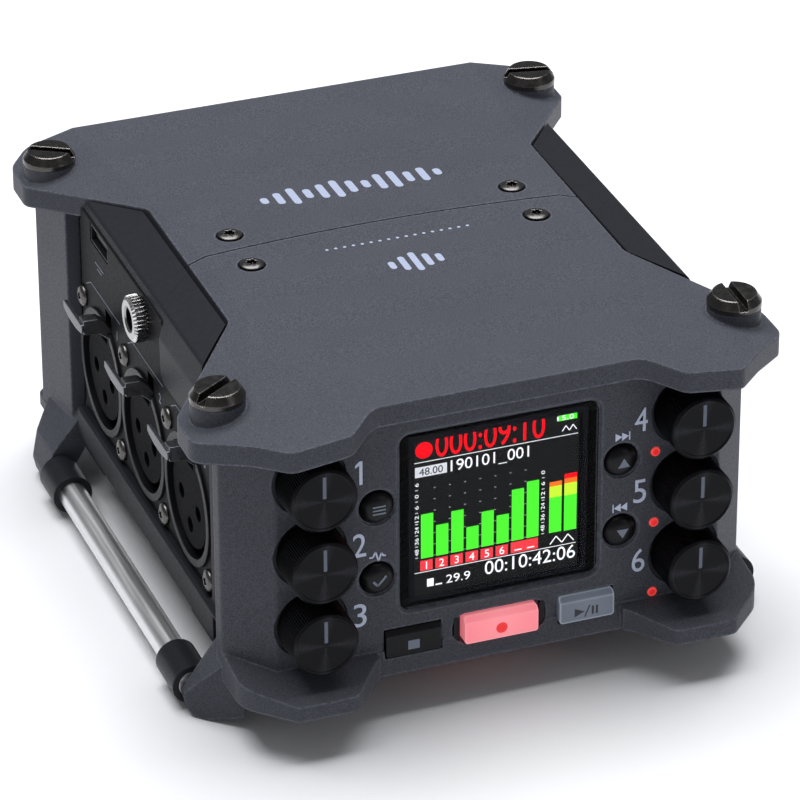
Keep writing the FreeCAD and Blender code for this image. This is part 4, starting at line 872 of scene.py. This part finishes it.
def build_prints():
    """Numerals beside the knobs, arrows over the right round buttons, and a wave over the lower left one."""
    art = Print()
    for number in range(1, 7):
        x = -23.2 if number < 4 else 23.5
        z = (44.7, 31.9, 19.3)[(number - 1) % 3]
        if number == 1:
            art.bar(x + 0.05, z - 2.07, 0.52, 4.15)
            flag = [(x + 0.05, z + 2.08), (x + 0.05, z + 1.35), (x - 0.62, z + 0.95), (x - 0.62, z + 1.42)]
            art.shape(flag[::-1])
        else:
            art.text(str(number), x, z, 4.15, 2.15, weight=0.02)
    arrow_x = 20.3
    for z, sign in ((42.3, 1), (29.6, -1)):
        for shift in (0.0, 1.1):
            tip = arrow_x + sign * (0.05 + shift)
            art.shape([(tip - sign * 1.15, z - 0.72), (tip, z), (tip - sign * 1.15, z + 0.72)][::sign])
        art.bar(arrow_x + sign * 1.28 - 0.09, z - 0.75, 0.18, 1.5)
    wave = [(-21.6, 29.3), (-21.0, 29.3), (-20.6, 30.2), (-20.1, 28.5), (-19.6, 29.9), (-19.3, 29.3),
            (-18.9, 29.3)]
    art.line(wave, 0.26)
    art.done("front_numbers", front_ink, "chassis", "casting_paint", front_plane(PRINT_Y))


def build_top_marks():
    """Made-up marks: a row of bars on the rear plate, and a smaller row and a line of dots in front."""
    rear = Print()
    for i, tall in enumerate((2.2, 4.2, 6.0, 3.4, 5.2, 6.4, 4.4, 2.8, 5.6, 6.2, 3.8, 5.0, 2.4)):
        rounded_bar(rear, -15.0 + i * 2.5, 0, 1.3, tall)
    rear.done("rear_mark", ink, "chassis", "casting_paint", top_plane(0.0, 15.5))
    front = Print()
    for i, tall in enumerate((2.4, 4.6, 6.2, 4.0, 2.6)):
        rounded_bar(front, -4.0 + i * 2.0, 0, 1.1, tall)
    front.done("front_mark", ink, "chassis", "casting_paint", top_plane(0.5, -13.0))
    dots = Print()
    for i in range(17):
        dots.disc(-12.0 + i * 1.5, 0, 0.28, 16)
    dots.done("front_dots", ink, "chassis", "casting_paint", top_plane(0.5, -4.6))


def build_side_marks():
    """A numeral and a bent line over each socket, and two short lines under the data port."""
    port_y = 21.8
    for side in (-1, 1):
        art = Print()
        for step in (-1, 0, 1):
            number = str((2 if side < 0 else 5) - step)
            y = SOCKET_MIDDLE + step * SOCKET_STEP
            art.text(number, side * (y - 8.4), 39.6, 1.7, weight=0.02)
            art.line([(side * (y - 10.2), 42.6), (side * (y + 5.5), 42.6), (side * (y + 8.0), 41.2)], 0.14)
        if side < 0:
            art.bar(side * port_y - 2.2, 47.7, 4.4, 0.16).bar(side * port_y - 1.2, 46.9, 2.4, 0.16)
        art.done(f"side_marks_{'left' if side < 0 else 'right'}", icon_ink, "chassis", "input_panel",
                 side_plane(side))


def build_back_marks():
    """A cell outline on the battery drawer and a card outline on the flap."""
    art = Print()
    frame_shape(art, (-3.6, -1.7, 3.6, 1.7), (-3.2, -1.3, 3.2, 1.3))
    art.bar(3.6, -0.7, 0.6, 1.4).bar(-2.6, -0.7, 2.4, 1.4)
    art.done("battery_mark", icon_ink, "battery_tray", "tray_plastic",
             plane_at(0, 55.51, 43.6, (-1, 0, 0), (0, 0, 1)))
    low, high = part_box("card_door")
    middle = (low + high) / 2 / MM
    art = Print()
    art.line([(-1.3, -1.7), (1.3, -1.7), (1.3, 1.7), (-0.5, 1.7), (-1.3, 0.9), (-1.3, -1.7)], 0.3)
    art.done("card_mark", icon_ink, "card_door", "switch_plastic",
             plane_at(middle.x, high.y / MM + 0.01, middle.z, (-1, 0, 0), (0, 0, 1)))


make_camera()
studio()
finish_nodes()
build_knobs()
build_dial()
build_screws()
build_nuts()
build_buttons()
build_screen()
build_prints()
build_top_marks()
build_side_marks()
build_back_marks()
